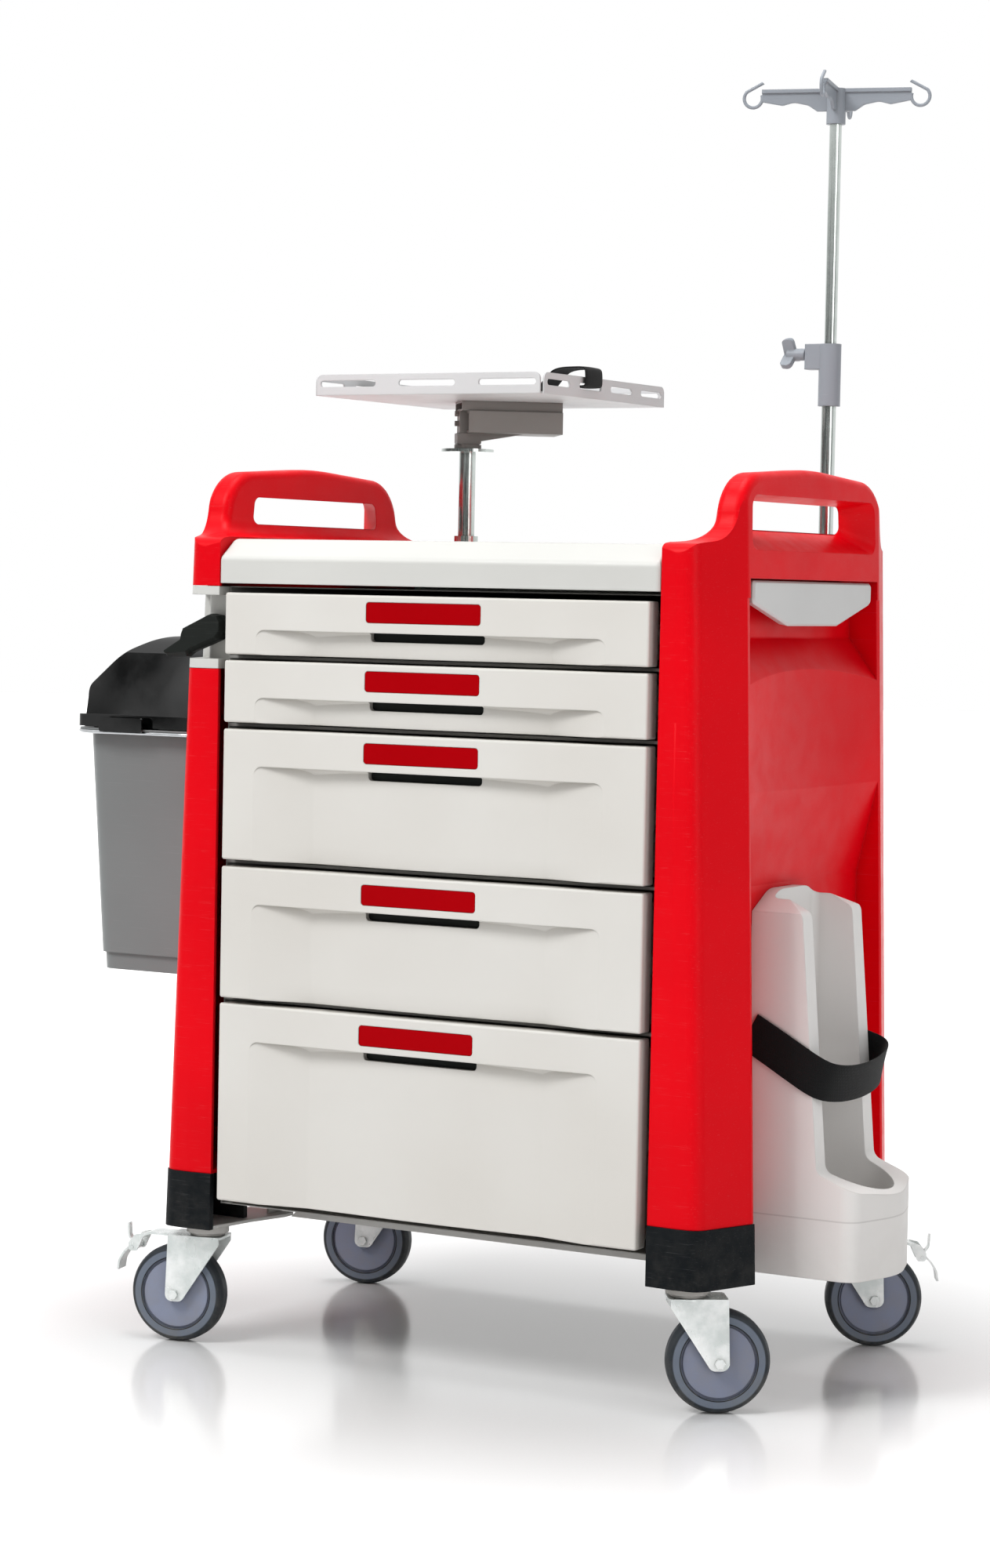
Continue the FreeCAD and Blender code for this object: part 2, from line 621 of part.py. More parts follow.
def build_base(parts):
    """Pressed base tray with a mounting plate, race and kingpin at each castor."""
    low = BASE_Z + CASTOR_PLATE_T
    top = CARCASS_LOW_Z - 0.2
    roof = top - BASE_WALL
    front = BASE_FRONT_Y
    back = HALF_DEPTH - BASE_BACK
    wall_half = BASE_WALL_HALF
    end_x = wall_half - (roof - low)
    pieces = [box(-BASE_HALF, BASE_HALF, front, back, roof, top),
              box(-BASE_HALF, BASE_WALL - BASE_HALF, front, back, low, roof),
              box(BASE_HALF - BASE_WALL, BASE_HALF, front, back, low, roof),
              box(BASE_WALL - BASE_HALF, BASE_HALF - BASE_WALL, back - BASE_WALL, back, low, roof),
              prism([(-wall_half, low, 0), (wall_half, low, 0), (end_x, roof, 0), (-end_x, roof, 0)], "XZ",
                    front, front + BASE_WALL)]
    for x in (CASTOR_X, -CASTOR_X):
        for y in (CASTOR_Y, -CASTOR_Y):
            pieces.append(castor_mount(x, y))
    parts["base_frame"] = Part.makeCompound(pieces)


def drawer_levels():
    """Middle heights of the gaps between drawers."""
    bands = [DRAWER_BANDS[n] for n in sorted(DRAWER_BANDS)]
    return [(bands[i][0] + bands[i + 1][1]) / 2 for i in range(len(bands) - 1)]


def build_carcass(parts):
    """Welded sheet steel cabinet, open at the front, with a tie bar between drawers."""
    half = INNER_X - PANEL_FIT
    bay = half - CARCASS_T
    front = CARCASS_FRONT_Y
    back = HALF_DEPTH - CARCASS_BACK
    low = CARCASS_LOW_Z + CARCASS_T
    top = CARCASS_TOP_Z - CARCASS_T
    plates = [box(-half, half, front, back, CARCASS_LOW_Z, low),
              box(-half, half, front, back, top, CARCASS_TOP_Z),
              box(-half, -bay, front, back, low, top),
              box(bay, half, front, back, low, top),
              box(-bay, bay, back - CARCASS_T, back, low, top)]
    for z in drawer_levels():
        plates.append(box(-bay, bay, front, front + TIE_BAR_W, z - TIE_BAR_H / 2, z + TIE_BAR_H / 2))
    rail = BOARD_HALF + BOARD_FIT
    board_top = BOARD_Z + BOARD_T
    guide_top = board_top + GUIDE_ROOF
    for side in (1, -1):
        y0, y1 = sorted((side * rail, side * (rail + GUIDE_T)))
        plates.append(box(-GUIDE_REACH, half, y0, y1, CARCASS_TOP_Z, guide_top))
        y0, y1 = sorted((side * (rail - 2 * GUIDE_T), side * rail))
        plates.append(box(-GUIDE_REACH, half, y0, y1, CARCASS_TOP_Z, BOARD_Z - BOARD_FIT / 2))
        plates.append(box(-GUIDE_REACH, half, y0, y1, board_top + BOARD_FIT / 2, guide_top))
    parts["cabinet_carcass"] = Part.makeCompound(plates)


def build_worktop(parts):
    """Moulded cover with a sloped front edge and a sunk work surface."""
    half = INNER_X - PANEL_FIT
    front = -HALF_DEPTH
    back = HALF_DEPTH - CARCASS_BACK
    side = [(front, WORKTOP_LOW_Z, 0), (front, WORKTOP_FOLD_Z, 10), (front + WORKTOP_SLOPE, WORKTOP_TOP_Z, 16),
            (back, WORKTOP_TOP_Z, 10), (back, WORKTOP_LOW_Z, 0)]

    def side_edge(edge):
        middle = edge_middle(edge)
        return abs(middle.x) > half - 0.1 and middle.z > WORKTOP_FOLD_Z + 1 and middle.y < back - 0.1

    cover = rounded_edges(prism(side, "YZ", -half, half), WORKTOP_EDGE_R, side_edge)
    wall = WORKTOP_WALL
    inner = [(front + wall, WORKTOP_LOW_Z - 1, 0), (front + wall, WORKTOP_FOLD_Z - 2, 0),
             (front + WORKTOP_SLOPE + 2, WORKTOP_TOP_Z - WORKTOP_SINK - wall, 0),
             (back - wall, WORKTOP_TOP_Z - WORKTOP_SINK - wall, 0), (back - wall, WORKTOP_LOW_Z - 1, 0)]
    cover = cover.cut(prism(inner, "YZ", -half + wall, half - wall))
    rim = WORKTOP_RIM
    low = rectangle(-half + rim + 6, half - rim - 6, front + WORKTOP_SLOPE + 26, back - rim - 6, 16)
    high = rectangle(-half + rim, half - rim, front + WORKTOP_SLOPE + 20, back - rim, 20)
    cover = cover.cut(ruled(low, high, "XY", WORKTOP_TOP_Z - WORKTOP_SINK, WORKTOP_TOP_Z + 0.5))
    slot = BOARD_HALF + BOARD_FIT + 7
    cover = cover.cut(box(half - wall - 1, half + 1, -slot, slot, WORKTOP_LOW_Z - 1, BOARD_Z + BOARD_T + 5))
    parts["worktop"] = cover


# ================================================================ drawers
def pull_recess(low, top):
    """Finger recess across a drawer front: slanted ends, bowed back, rounded ceiling, open at the bottom."""
    near = FRONT_Y - 0.01
    deep = FRONT_Y + PULL_END_DEPTH
    middle = (PULL_LEFT + PULL_RIGHT) / 2
    ceiling = top - PULL_TOP
    plan = [(PULL_LEFT, near, 0), (PULL_LEFT + PULL_SLANT, deep, 25),
            (middle, FRONT_Y + PULL_DEPTH, PULL_BACK_R),
            (PULL_RIGHT - PULL_SLANT, deep, 25), (PULL_RIGHT, near, 0)]
    face = [(PULL_LEFT, low - 1, 0), (PULL_RIGHT, low - 1, 0), (PULL_RIGHT, ceiling, PULL_CORNER_R),
            (PULL_LEFT, ceiling, PULL_CORNER_R)]
    side = [(near, low - 1, 0), (deep, low - 1, 0), (deep, ceiling, PULL_CEILING_R), (near, ceiling, 0)]
    shape = prism(plan, "XY", low - 1, ceiling).common(prism(face, "XZ", near, deep))
    return shape.common(prism(side, "YZ", PULL_LEFT, PULL_RIGHT))


def drawer_box(number):
    """Bottom and top of a drawer's box, below and behind its front."""
    low, top = DRAWER_BANDS[number]
    return low + BOX_RAISE, top - BOX_TOP_DROP


def drawer_front(number):
    """Moulded front with its pull recess."""
    low, top = DRAWER_BANDS[number]
    front = box(-FRONT_HALF, FRONT_HALF, FRONT_Y, FRONT_Y + FRONT_T, low, top)

    def outer_edge(edge):
        middle = edge_middle(edge)
        return middle.y < FRONT_Y + 0.1 or abs(middle.x) > FRONT_HALF - 0.1 and edge.Length < FRONT_T + 1

    return rounded_edges(front, FRONT_EDGE_R, outer_edge).cut(pull_recess(low, top))


def build_drawer(parts, number):
    """Drawer with its box and slide rails, its label plate and its grip insert."""
    low, top = DRAWER_BANDS[number]
    x0 = LABEL_MID - LABEL_L / 2
    x1 = LABEL_MID + LABEL_L / 2
    z1 = top - LABEL_DROPS[number]
    z0 = z1 - LABEL_H
    face = FRONT_Y + LABEL_SUNK
    seat = prism(rectangle(x0 - LABEL_FIT, x1 + LABEL_FIT, z0 - LABEL_FIT, z1 + LABEL_FIT, LABEL_R + LABEL_FIT),
                 "XZ", FRONT_Y - 1, face + LABEL_T)
    parts["drawer_label_%d" % number] = prism(rectangle(x0, x1, z0, z1, LABEL_R), "XZ", face, face + LABEL_T)
    z0 = top - PULL_TOP - GRIP_SHOW
    z1 = z0 + GRIP_H
    near = FRONT_Y + PULL_DEPTH - 4
    deep = FRONT_Y + FRONT_T - GRIP_BACK_T
    finger = prism(rectangle(x0, x1, z0, z1, GRIP_R), "XZ", near, deep)
    lining = prism(rectangle(x0, x1, z0, z1, GRIP_R), "XZ", deep - GRIP_T, deep)
    roof = box(x0, x1, near, deep, z1 - GRIP_T, z1).common(finger)
    parts["drawer_grip_%d" % number] = fuse([lining, roof])
    low_z, high_z = drawer_box(number)
    back_y = FRONT_Y + FRONT_T
    box_half = box_half_width()
    tray = box(-box_half, box_half, back_y, BOX_BACK_Y, low_z, high_z)
    inside = box(BOX_WALL - box_half, box_half - BOX_WALL, back_y + BOX_WALL, BOX_BACK_Y - BOX_WALL,
                 low_z + BOX_WALL, high_z + 1)
    middle_z = (low_z + high_z) / 2
    rail = box(box_half, runner_edges()[0], RUNNER_FRONT_Y + 6, BOX_BACK_Y,
               middle_z - RUNNER_H / 4, middle_z + RUNNER_H / 4)
    front = drawer_front(number).cut(seat).cut(finger)
    parts["drawer_%d" % number] = fuse([front, tray.cut(inside), rail, mirrored(rail)])


def runner_edges():
    """X of the drawer rail, of the middle member's two faces and of the fixed member's web."""
    wall = INNER_X - PANEL_FIT - CARCASS_T
    middle_out = wall - RUNNER_T - RUNNER_FIT
    middle_in = middle_out - RUNNER_T
    return middle_in - RUNNER_FIT, middle_in, middle_out, wall


def box_half_width():
    """Half the width of a drawer box: what the runners' depth leaves between the cabinet walls."""
    return runner_edges()[3] - RUNNER_LIP - BOX_SIDE_GAP


def build_runners(parts):
    """Fixed members on the cabinet and the middle members of the drawers."""
    rail_x, middle_in, middle_out, wall = runner_edges()
    y0 = RUNNER_FRONT_Y
    y1 = y0 + RUNNER_LEN
    half = RUNNER_H / 2
    inner = half - RUNNER_T - RUNNER_FIT
    fixed = []
    for number in DRAWER_BANDS:
        z = sum(drawer_box(number)) / 2
        member = box(wall - RUNNER_LIP, wall, y0, y1, z - half, z + half)
        member = member.cut(box(0, wall - RUNNER_T, y0 - 1, y1 + 1, z - half + RUNNER_T, z + half - RUNNER_T))
        slide = box(box_half_width() + RUNNER_SIDE_GAP, middle_out, y0 + 2, y1 - 4, z - inner, z + inner)
        slide = slide.cut(box(0, middle_in, y0 - 1, y1 + 1, z - inner + RUNNER_T, z + inner - RUNNER_T))
        fixed += [member, mirrored(member)]
        parts["runner_middle_%d" % number] = Part.makeCompound([slide, mirrored(slide)])
    parts["runners_fixed"] = Part.makeCompound(fixed)


def build_side_shelf(parts):
    """Pull-out board with its moulded front."""
    corners = [(-SHELF_HALF, SHELF_TOP_Z, 4), (-SHELF_HALF, SHELF_KNEE_Z, 6),
               (-SHELF_FOOT_HALF, SHELF_LOW_Z, 12), (SHELF_FOOT_HALF, SHELF_LOW_Z, 12),
               (SHELF_HALF, SHELF_KNEE_Z, 6), (SHELF_HALF, SHELF_TOP_Z, 4)]

    def face(inset, x):
        shrink = 1 - inset / SHELF_HALF
        rows = [(y * shrink, z + (inset if z < SHELF_TOP_Z else -inset), r) for y, z, r in corners]
        return outline(rows, "YZ", x)

    back_x = SHELF_FACE_X - SHELF_FACE_T
    body = Part.makeLoft([face(2, back_x), face(0, SHELF_FACE_X - 3)], True, True)
    nose = Part.makeLoft([face(0, SHELF_FACE_X - 3), face(2.5, SHELF_FACE_X)], True, True)
    board = box(back_x - BOARD_LEN, back_x, -BOARD_HALF, BOARD_HALF, BOARD_Z, BOARD_Z + BOARD_T)
    parts["side_shelf"] = fuse([body, nose, board])


# ================================================================ castors
def build_fork(braked):
    """Pressed fork with its axle bolt, trailing along +X of its own axes."""
    top = FORK_TOP_Z
    axle = WHEEL_R
    low = top - FORK_T
    inside = WHEEL_W / 2 + FORK_GAP
    outside = inside + FORK_T
    leg = [(-23, top, 0), (-23, top - 10, 0), (TRAIL - 10, axle - 9, 9), (TRAIL + 12, axle - 9, 9),
           (TRAIL + 9, top, 2)]
    shapes = [prism(rectangle(-25, TRAIL + 9, -outside, outside, 6), "XY", low, top)]
    shapes += [prism(leg, "XZ", inside, outside), prism(leg, "XZ", -outside, -inside)]
    shapes.append(cylinder(RACE_R - 3, (0, 0, low), (0, 0, 1), FORK_T))
    shapes.append(cylinder(AXLE_R, (TRAIL, -outside - 1, axle), (0, 1, 0), 2 * outside + 2))
    shapes.append(hexagon(11, (TRAIL, outside, axle), (0, 1, 0), 4))
    shapes.append(hexagon(11, (TRAIL, -outside, axle), (0, -1, 0), 4))
    if braked:
        shapes += brake_mount()
    bore = cylinder(KINGPIN_R + AXLE_FIT, (0, 0, 0), (0, 0, 1), 300)
    return fuse([shape.cut(bore) for shape in shapes])


def brake_mount():
    """Arm, ears and pivot pin that carry the brake pedal on the fork."""
    x, z = PEDAL_PIVOT
    plate_z = FORK_TOP_Z - FORK_T / 2
    arm = band([(TRAIL + 4, plate_z, 0), (x - 24, plate_z, 12), (x - 4, z + 12, 0)],
               FORK_T, "XZ", -PEDAL_HALF - 3, PEDAL_HALF + 3)
    ear = prism([(x - 17, FORK_TOP_Z - 2, 2), (x - 6, z - 5, 3), (x + 5, z - 5, 4), (x + 5, z + 6, 4),
                 (x - 3, z + 16, 3)], "XZ", PEDAL_HALF + 0.6, PEDAL_HALF + 3)
    pin = cylinder(PEDAL_PIN_R, (x, -PEDAL_HALF - 3.6, z), (0, 1, 0), 2 * PEDAL_HALF + 7.2)
    return [arm, ear, ear.mirror(V(0, 0, 0), V(0, 1, 0)), pin]


def build_pedal():
    """Brake pedal: curved foot leaf below its pivot and a release finger above."""
    x, z = PEDAL_PIVOT
    leaf = band([(x + 3, z + 2, 0), (x + 12, z - 7, 10), (x + 19, z - 18, 20), (x + 21, z - 31, 0)],
                2.5, "XZ", -PEDAL_HALF, PEDAL_HALF)
    finger = band([(x + 1, z + 3, 0), (x + 9, z + 12, 10), (x + 10, z + 29, 0)], 2.5, "XZ", -5, 5)
    barrel = cylinder(PEDAL_PIN_R + 3, (x, -PEDAL_HALF, z), (0, 1, 0), 2 * PEDAL_HALF)
    bore = cylinder(PEDAL_PIN_R + AXLE_FIT, (x, -PEDAL_HALF - 1, z), (0, 1, 0), 2 * PEDAL_HALF + 2)
    return fuse([leaf, finger, barrel]).cut(bore)


def build_tyre():
    """Tyre of one wheel, turned about its axle."""
    half = WHEEL_W / 2
    inset = TREAD_R
    section = [(HUB_R, -half, 0), (WHEEL_R - 4, -half, TYRE_SHOULDER_R), (WHEEL_R, inset - half, TREAD_R),
               (WHEEL_R, half - inset, TREAD_R), (WHEEL_R - 4, half, TYRE_SHOULDER_R), (HUB_R, half, 0)]
    face = Part.Face(outline(section, "XY", 0))
    tyre = face.revolve(V(0, 0, 0), V(0, 1, 0), 360)
    tyre.translate(V(TRAIL, 0, WHEEL_R))
    return tyre


def build_hub():
    """Wheel centre with a groove at its rim and a raised boss round the axle."""
    half = WHEEL_W / 2
    face = half - HUB_RECESS
    section = [(AXLE_R + AXLE_FIT, -face - 3, 0), (12, -face - 3, 0), (13, -face, 0), (HUB_R - 3, -face, 0),
               (HUB_R - 2, -face + 2, 0), (HUB_R, -face + 2, 0)]
    section += [(r, -y, 0) for r, y, bend in reversed(section)]
    hub = Part.Face(outline(section, "XY", 0)).revolve(V(0, 0, 0), V(0, 1, 0), 360)
    hub.translate(V(TRAIL, 0, WHEEL_R))
    return hub


def build_castors(parts):
    """Four swivel castors, two of them braked, each trailing its own way."""
    tyre = build_tyre()
    hub = build_hub()
    for name, angle in TURNS.items():
        x = CASTOR_X if "right" in name else -CASTOR_X
        y = CASTOR_Y if "rear" in name else -CASTOR_Y
        braked = name in BRAKED
        parts["castor_fork_" + name] = turned(build_fork(braked), angle, x, y)
        parts["castor_tyre_" + name] = turned(tyre, angle, x, y)
        parts["castor_hub_" + name] = turned(hub, angle, x, y)
        if braked:
            parts["brake_pedal_" + name] = turned(build_pedal(), angle, x, y)


# ================================================================ cylinder holder
def holder_slot():
    """Upright slot for the cylinder: flat back corners, half-round front."""
    r = CUP_BORE_R
    front = CUP_BORE_X + r
    return [(TROUGH_X, HOLDER_Y - r, TROUGH_CORNER_R), (front, HOLDER_Y - r, r), (front, HOLDER_Y + r, r),
            (TROUGH_X, HOLDER_Y + r, TROUGH_CORNER_R)]


def build_holder(parts):
    """Gas cylinder holder: a cup with a tall open trough above it."""
    y0 = HOLDER_Y - HOLDER_HALF
    y1 = HOLDER_Y + HOLDER_HALF
    plan = [(HOLDER_BACK_X, y0, 0), (CUP_CORNER_X, y0, 24), (CUP_REACH_X + 3, HOLDER_Y, 110),
            (CUP_CORNER_X, y1, 24), (HOLDER_BACK_X, y1, 0)]
    body = prism(plan, "XY", HOLDER_LOW_Z, HOLDER_TOP_Z + 60)
    lip_z = CUP_RIM_Z - (CUP_RIM_Z - CUP_LIP_Z) * (560 - HOLDER_KNEE_X) / (CUP_CORNER_X - HOLDER_KNEE_X)
    side = [(HOLDER_BACK_X - 1, HOLDER_LOW_Z - 1, 0), (560, HOLDER_LOW_Z - 1, 0), (560, lip_z, 0),
            (HOLDER_KNEE_X, CUP_RIM_Z, 14), (HOLDER_TIP_X, HOLDER_TOP_Z, 12),
            (HOLDER_BACK_X - 1, HOLDER_TOP_Z + 34, 0)]
    body = body.common(prism(side, "XZ", y0 - 1, y1 + 1))
    arch_z = HOLDER_TOP_Z + HOLDER_ARCH
    half = HOLDER_ARCH_HALF
    crown = [(y0 - 1, HOLDER_LOW_Z - 1, 0), (y0 - 1, HOLDER_TOP_Z, 0), (HOLDER_Y - half, arch_z, HOLDER_ARCH_R),
             (HOLDER_Y + half, arch_z, HOLDER_ARCH_R), (y1 + 1, HOLDER_TOP_Z, 0), (y1 + 1, HOLDER_LOW_Z - 1, 0)]
    body = body.common(prism(crown, "YZ", HOLDER_BACK_X - 2, BEYOND_X))
    floor = HOLDER_LOW_Z + CUP_FLOOR_T
    parts["cylinder_holder"] = body.cut(prism(holder_slot(), "XY", floor, HOLDER_TOP_Z + 80))


def build_cylinder_strap(parts):
    """Webbing strap slung round the trough's open side."""
    y0 = HOLDER_Y - HOLDER_HALF - 0.4 - STRAP_T / 2
    y1 = HOLDER_Y + HOLDER_HALF + 0.4 + STRAP_T / 2
    reach = HOLDER_KNEE_X + 18
    loop = band([(HOLDER_BACK_X + 3, y0, 0), (reach - 8, y0, 14), (reach + 6, HOLDER_Y - 20, 60),
                 (reach, HOLDER_Y + 50, 40), (reach - 10, y1, 14), (HOLDER_BACK_X + 3, y1, 0)],
                STRAP_T, "XY", STRAP_Z - 60, STRAP_Z + 120)
    low_z = STRAP_Z - STRAP_SAG
    high_z = STRAP_Z + STRAP_RISE
    hang = [(HOLDER_BACK_X, high_z, 0), (reach + 20, low_z, 0), (reach + 20, low_z + STRAP_W, 0),
            (HOLDER_BACK_X, high_z + STRAP_W, 0)]
    parts["cylinder_strap"] = loop.common(prism(hang, "XZ", y0 - 5, y1 + 5))


# ================================================================ waste bin
def bin_outline(offset, radius):
    """Plan of the bin's mouth, grown by an offset."""
    return rectangle(BIN_X - BIN_HALF_X - offset, BIN_X + BIN_HALF_X + offset,
                     BIN_Y - BIN_HALF_Y - offset, BIN_Y + BIN_HALF_Y + offset, radius)


def bin_mass(inset, low, high):
    """Tapered filling of the bin between two heights."""
    def plan(z):
        taper = BIN_TAPER * (BIN_TOP_Z - z) / (BIN_TOP_Z - BIN_LOW_Z)
        return bin_outline(-taper - inset, BIN_CORNER - inset)
    return ruled(plan(low), plan(high), "XY", low, high)


def hinge_blocks(spans, y, z, radius):
    """Round hinge knuckles along X."""
    return [cylinder(radius, (x0, y, z), (1, 0, 0), x1 - x0) for x0, x1 in spans]


def build_bin(parts):
    """Tapered bin with a rolled rim and the fixed half of the lid hinge."""
    body = bin_mass(0, BIN_STEP_Z, BIN_TOP_Z).fuse(bin_mass(BIN_STEP, BIN_LOW_Z, BIN_STEP_Z))
    flange = prism(bin_outline(BIN_FLANGE, BIN_CORNER + BIN_FLANGE), "XY", BIN_TOP_Z - 2.2, BIN_TOP_Z)
    y, z = LID_HINGE
    webs = [box(x0, x1, y - 3, y + 3, BIN_TOP_Z - 2.2, z) for x0, x1 in BIN_KNUCKLES]
    knuckles = hinge_blocks(BIN_KNUCKLES, y, z, LID_PIN_R + 3)
    pin = cylinder(LID_PIN_R, (BIN_KNUCKLES[0][0], y, z), (1, 0, 0), BIN_KNUCKLES[-1][1] - BIN_KNUCKLES[0][0])
    body = fuse([body, flange] + webs + knuckles + [pin])
    ledge = BIN_STEP_Z + BIN_WALL
    body = body.cut(bin_mass(BIN_WALL, ledge, BIN_TOP_Z + 1))
    parts["bin_body"] = body.cut(bin_mass(BIN_STEP + BIN_WALL, BIN_LOW_Z + BIN_WALL, ledge + 0.01))


def build_bin_lid(parts):
    """Domed lid with its rim, front clip and hinge knuckles."""
    low = BIN_TOP_Z + 2
    rim_top = low + LID_RIM_H
    rim = prism(bin_outline(LID_PROUD, 14), "XY", low, rim_top)
    front = BIN_Y - BIN_HALF_Y - 2
    back = BIN_Y + BIN_HALF_Y + 2

    def dome(inset):
        left = BIN_X - BIN_HALF_X + 2 + inset
        right = BIN_X + BIN_HALF_X - inset
        top = LID_TOP_Z - inset
        side = [(left, low - 1, 0), (left + 4, 833, 18), (left + 54, top - 24, 120), (left + 112, top, 120),
                (right, top, 14), (right, low - 1, 0)]
        end = [(front + inset, low - 1, 0), (front + inset + 10, top + 1, 26), (back - inset - 10, top + 1, 26),
               (back - inset, low - 1, 0)]
        shape = prism(side, "XZ", front - 5, back + 5)
        return shape.common(prism(end, "YZ", left - 5, right + 5))

    y, z = LID_HINGE
    tabs = [box(x0, x1, BIN_Y + BIN_HALF_Y + LID_PROUD - 2, y, z, z + LID_PIN_R + 3) for x0, x1 in LID_KNUCKLES]
    knuckles = hinge_blocks(LID_KNUCKLES, y, z, LID_PIN_R + 3)
    clip_y = BIN_Y - BIN_HALF_Y - BIN_FLANGE - 6
    clip = prism(rectangle(-560, -492, low - 6, rim_top - 3, 3), "XZ", clip_y, clip_y + 3)
    clip = clip.fuse(box(-557, -495, clip_y + 1, BIN_Y - BIN_HALF_Y - LID_PROUD + 2, rim_top - 10, rim_top - 4))
    lid = fuse([rim, dome(0), clip] + tabs + knuckles)
    lid = lid.cut(dome(LID_WALL))
    lid = lid.cut(cylinder(LID_PIN_R + AXLE_FIT, (-700, y, z), (1, 0, 0), 400))
    parts["bin_lid"] = lid


def flank_skin(gap):
    """Outer surface of a right-hand flank as a solid, moved outward by a gap."""
    return column_mass(BUMPER_Z, SHOULDER_Z - 14, gap).cut(flank_dish(-gap))


def build_bin_hanger(parts):
    """Wire hoop under the bin's rim on a plate screwed to the left flank."""
    offset = BIN_FLANGE - 1
    radius = BIN_CORNER + offset
    spine = outline(bin_outline(offset, radius), "XY", HOOP_Z)
    start = V(BIN_X, BIN_Y - BIN_HALF_Y - offset, HOOP_Z)
    section = Part.Wire(Part.makeCircle(HOOP_R, start, V(1, 0, 0)))
    hoop = spine.makePipeShell([section], True, False)
    plate_x = BIN_X + BIN_HALF_X
    plate = box(plate_x + 12, 0, BIN_Y - 90, BIN_Y + 90, HOOP_Z - 60, HOOP_Z + 2)
    plate = plate.common(mirrored(column_mass(BUMPER_Z, SHOULDER_Z - 14, 5).cut(flank_dish(-3.2))))
    plate = plate.cut(mirrored(flank_skin(0.2)))
    arms = []
    for side in (1, -1):
        y = BIN_Y + side * 60
        arm = cylinder(HOOP_R, (plate_x + offset, y, HOOP_Z - 2 * HOOP_R + 1), (1, 0, 0), 30)
        arms.append(arm.cut(mirrored(flank_skin(0.2))))
    parts["bin_hanger"] = fuse([hoop, plate] + arms)


# ================================================================ lock lever
def build_lock(parts):
    """Housing let into the left front column and the lever that turns on it."""
    low = LOCK_LOW_Z + PANEL_FIT
    top = LOCK_TOP_Z - PANEL_FIT
    ahead = -HALF_DEPTH - 5
    back = LOCK_DEEP_Y - LOCK_BACK_T
    block = column_mass(low, top).common(box(0, BEYOND_X, -BEYOND_Y, LOCK_DEEP_Y - PANEL_FIT, low, top))
    block = block.cut(box(0, INNER_X + PANEL_FIT, -BEYOND_Y, 0, 0, BEYOND_Z))
    web_x = INNER_X + LOCK_WEB_END
    bay = [(INNER_X - 5, ahead, 0), (BEYOND_X, ahead, 0), (BEYOND_X, back, 0),
           (web_x + LOCK_WEB_R, back, 0), (web_x, LOCK_WEB_Y, LOCK_WEB_R), (INNER_X - 5, LOCK_WEB_Y, 0)]
    bay = prism(bay, "XY", low + LOCK_FLANGE + 1, top - LOCK_FLANGE)
    housing = mirrored(block.cut(bay))
    tip_y = LEVER_FRONT_Y + LEVER_PIN_COVER
    pin = cylinder(LEVER_PIN_R, (LEVER_X, tip_y + AXLE_FIT, LEVER_Z), (0, 1, 0), LOCK_WEB_Y + 1 - tip_y)
    parts["lock_housing"] = fuse([housing, pin])
    back_y = LEVER_FRONT_Y + LEVER_T
    plan = [(x, z, LEVER_BEND_R) for x, z in LEVER_PLAN]
    nose = [(x, z, LEVER_BEND_R) for x, z in LEVER_FACE]
    lever = prism(plan, "XZ", LEVER_FRONT_Y + LEVER_NOSE, back_y)
    lever = lever.fuse(ruled(nose, plan, "XZ", LEVER_FRONT_Y, LEVER_FRONT_Y + LEVER_NOSE))
    bore = cylinder(LEVER_PIN_R + AXLE_FIT, (LEVER_X, tip_y, LEVER_Z), (0, 1, 0), LEVER_T)
    parts["lock_lever"] = lever.cut(bore)


# ================================================================ infusion pole
def build_pole(parts):
    """Lower tube on two brackets, with the clamp at its top."""
    at = (POLE_X, POLE_Y, POLE_LOW_Z)
    tube = ring(POLE_R, ROD_R + ROD_FIT, at, (0, 0, 1), POLE_TOP_Z - POLE_LOW_Z)
    parts["pole_tube"] = fuse([tube, cylinder(POLE_R, at, (0, 0, 1), 4)])
    brackets = []
    back = HALF_DEPTH - CARCASS_BACK + 0.2
    wide = BRACKET_FOOT_HALF
    slim = BRACKET_STEM_HALF
    for z in POLE_BRACKETS_Z:
        z0 = z - BRACKET_H / 2
        z1 = z + BRACKET_H / 2
        collar = cylinder(POLE_R + BRACKET_WALL, (POLE_X, POLE_Y, z0), (0, 0, 1), BRACKET_H)
        foot = box(POLE_X - wide, POLE_X + wide, back, back + BRACKET_FOOT_T, z0, z1)
        stem = box(POLE_X - slim, POLE_X + slim, back, POLE_Y, z0, z1)
        bracket = fuse([collar, foot, stem])
        brackets.append(bracket.cut(cylinder(POLE_R, (POLE_X, POLE_Y, z0 - 1), (0, 0, 1), BRACKET_H + 2)))
    parts["pole_brackets"] = Part.makeCompound(brackets)
    low = POLE_TOP_Z - 6
    sleeve = cylinder(CLAMP_R, (POLE_X, POLE_Y, low), (0, 0, 1), CLAMP_TOP_Z - low)
    half = CLAMP_BLOCK_HALF
    block = prism(rectangle(POLE_X - CLAMP_BLOCK_REACH, POLE_X + 8, POLE_Y - half, POLE_Y + half, 4), "XY",
                  CLAMP_BLOCK_Z, CLAMP_TOP_Z)
    clamp = fuse([sleeve, block])
    clamp = clamp.cut(cylinder(POLE_R, (POLE_X, POLE_Y, low - 1), (0, 0, 1), POLE_TOP_Z - low + 1))
    clamp = clamp.cut(cylinder(ROD_R + ROD_FIT, (POLE_X, POLE_Y, low), (0, 0, 1), 200))
    screw = cylinder(KNOB_SCREW_R + AXLE_FIT, (POLE_X - 60, POLE_Y, KNOB_Z), (1, 0, 0), 55)
    parts["pole_clamp"] = clamp.cut(screw)


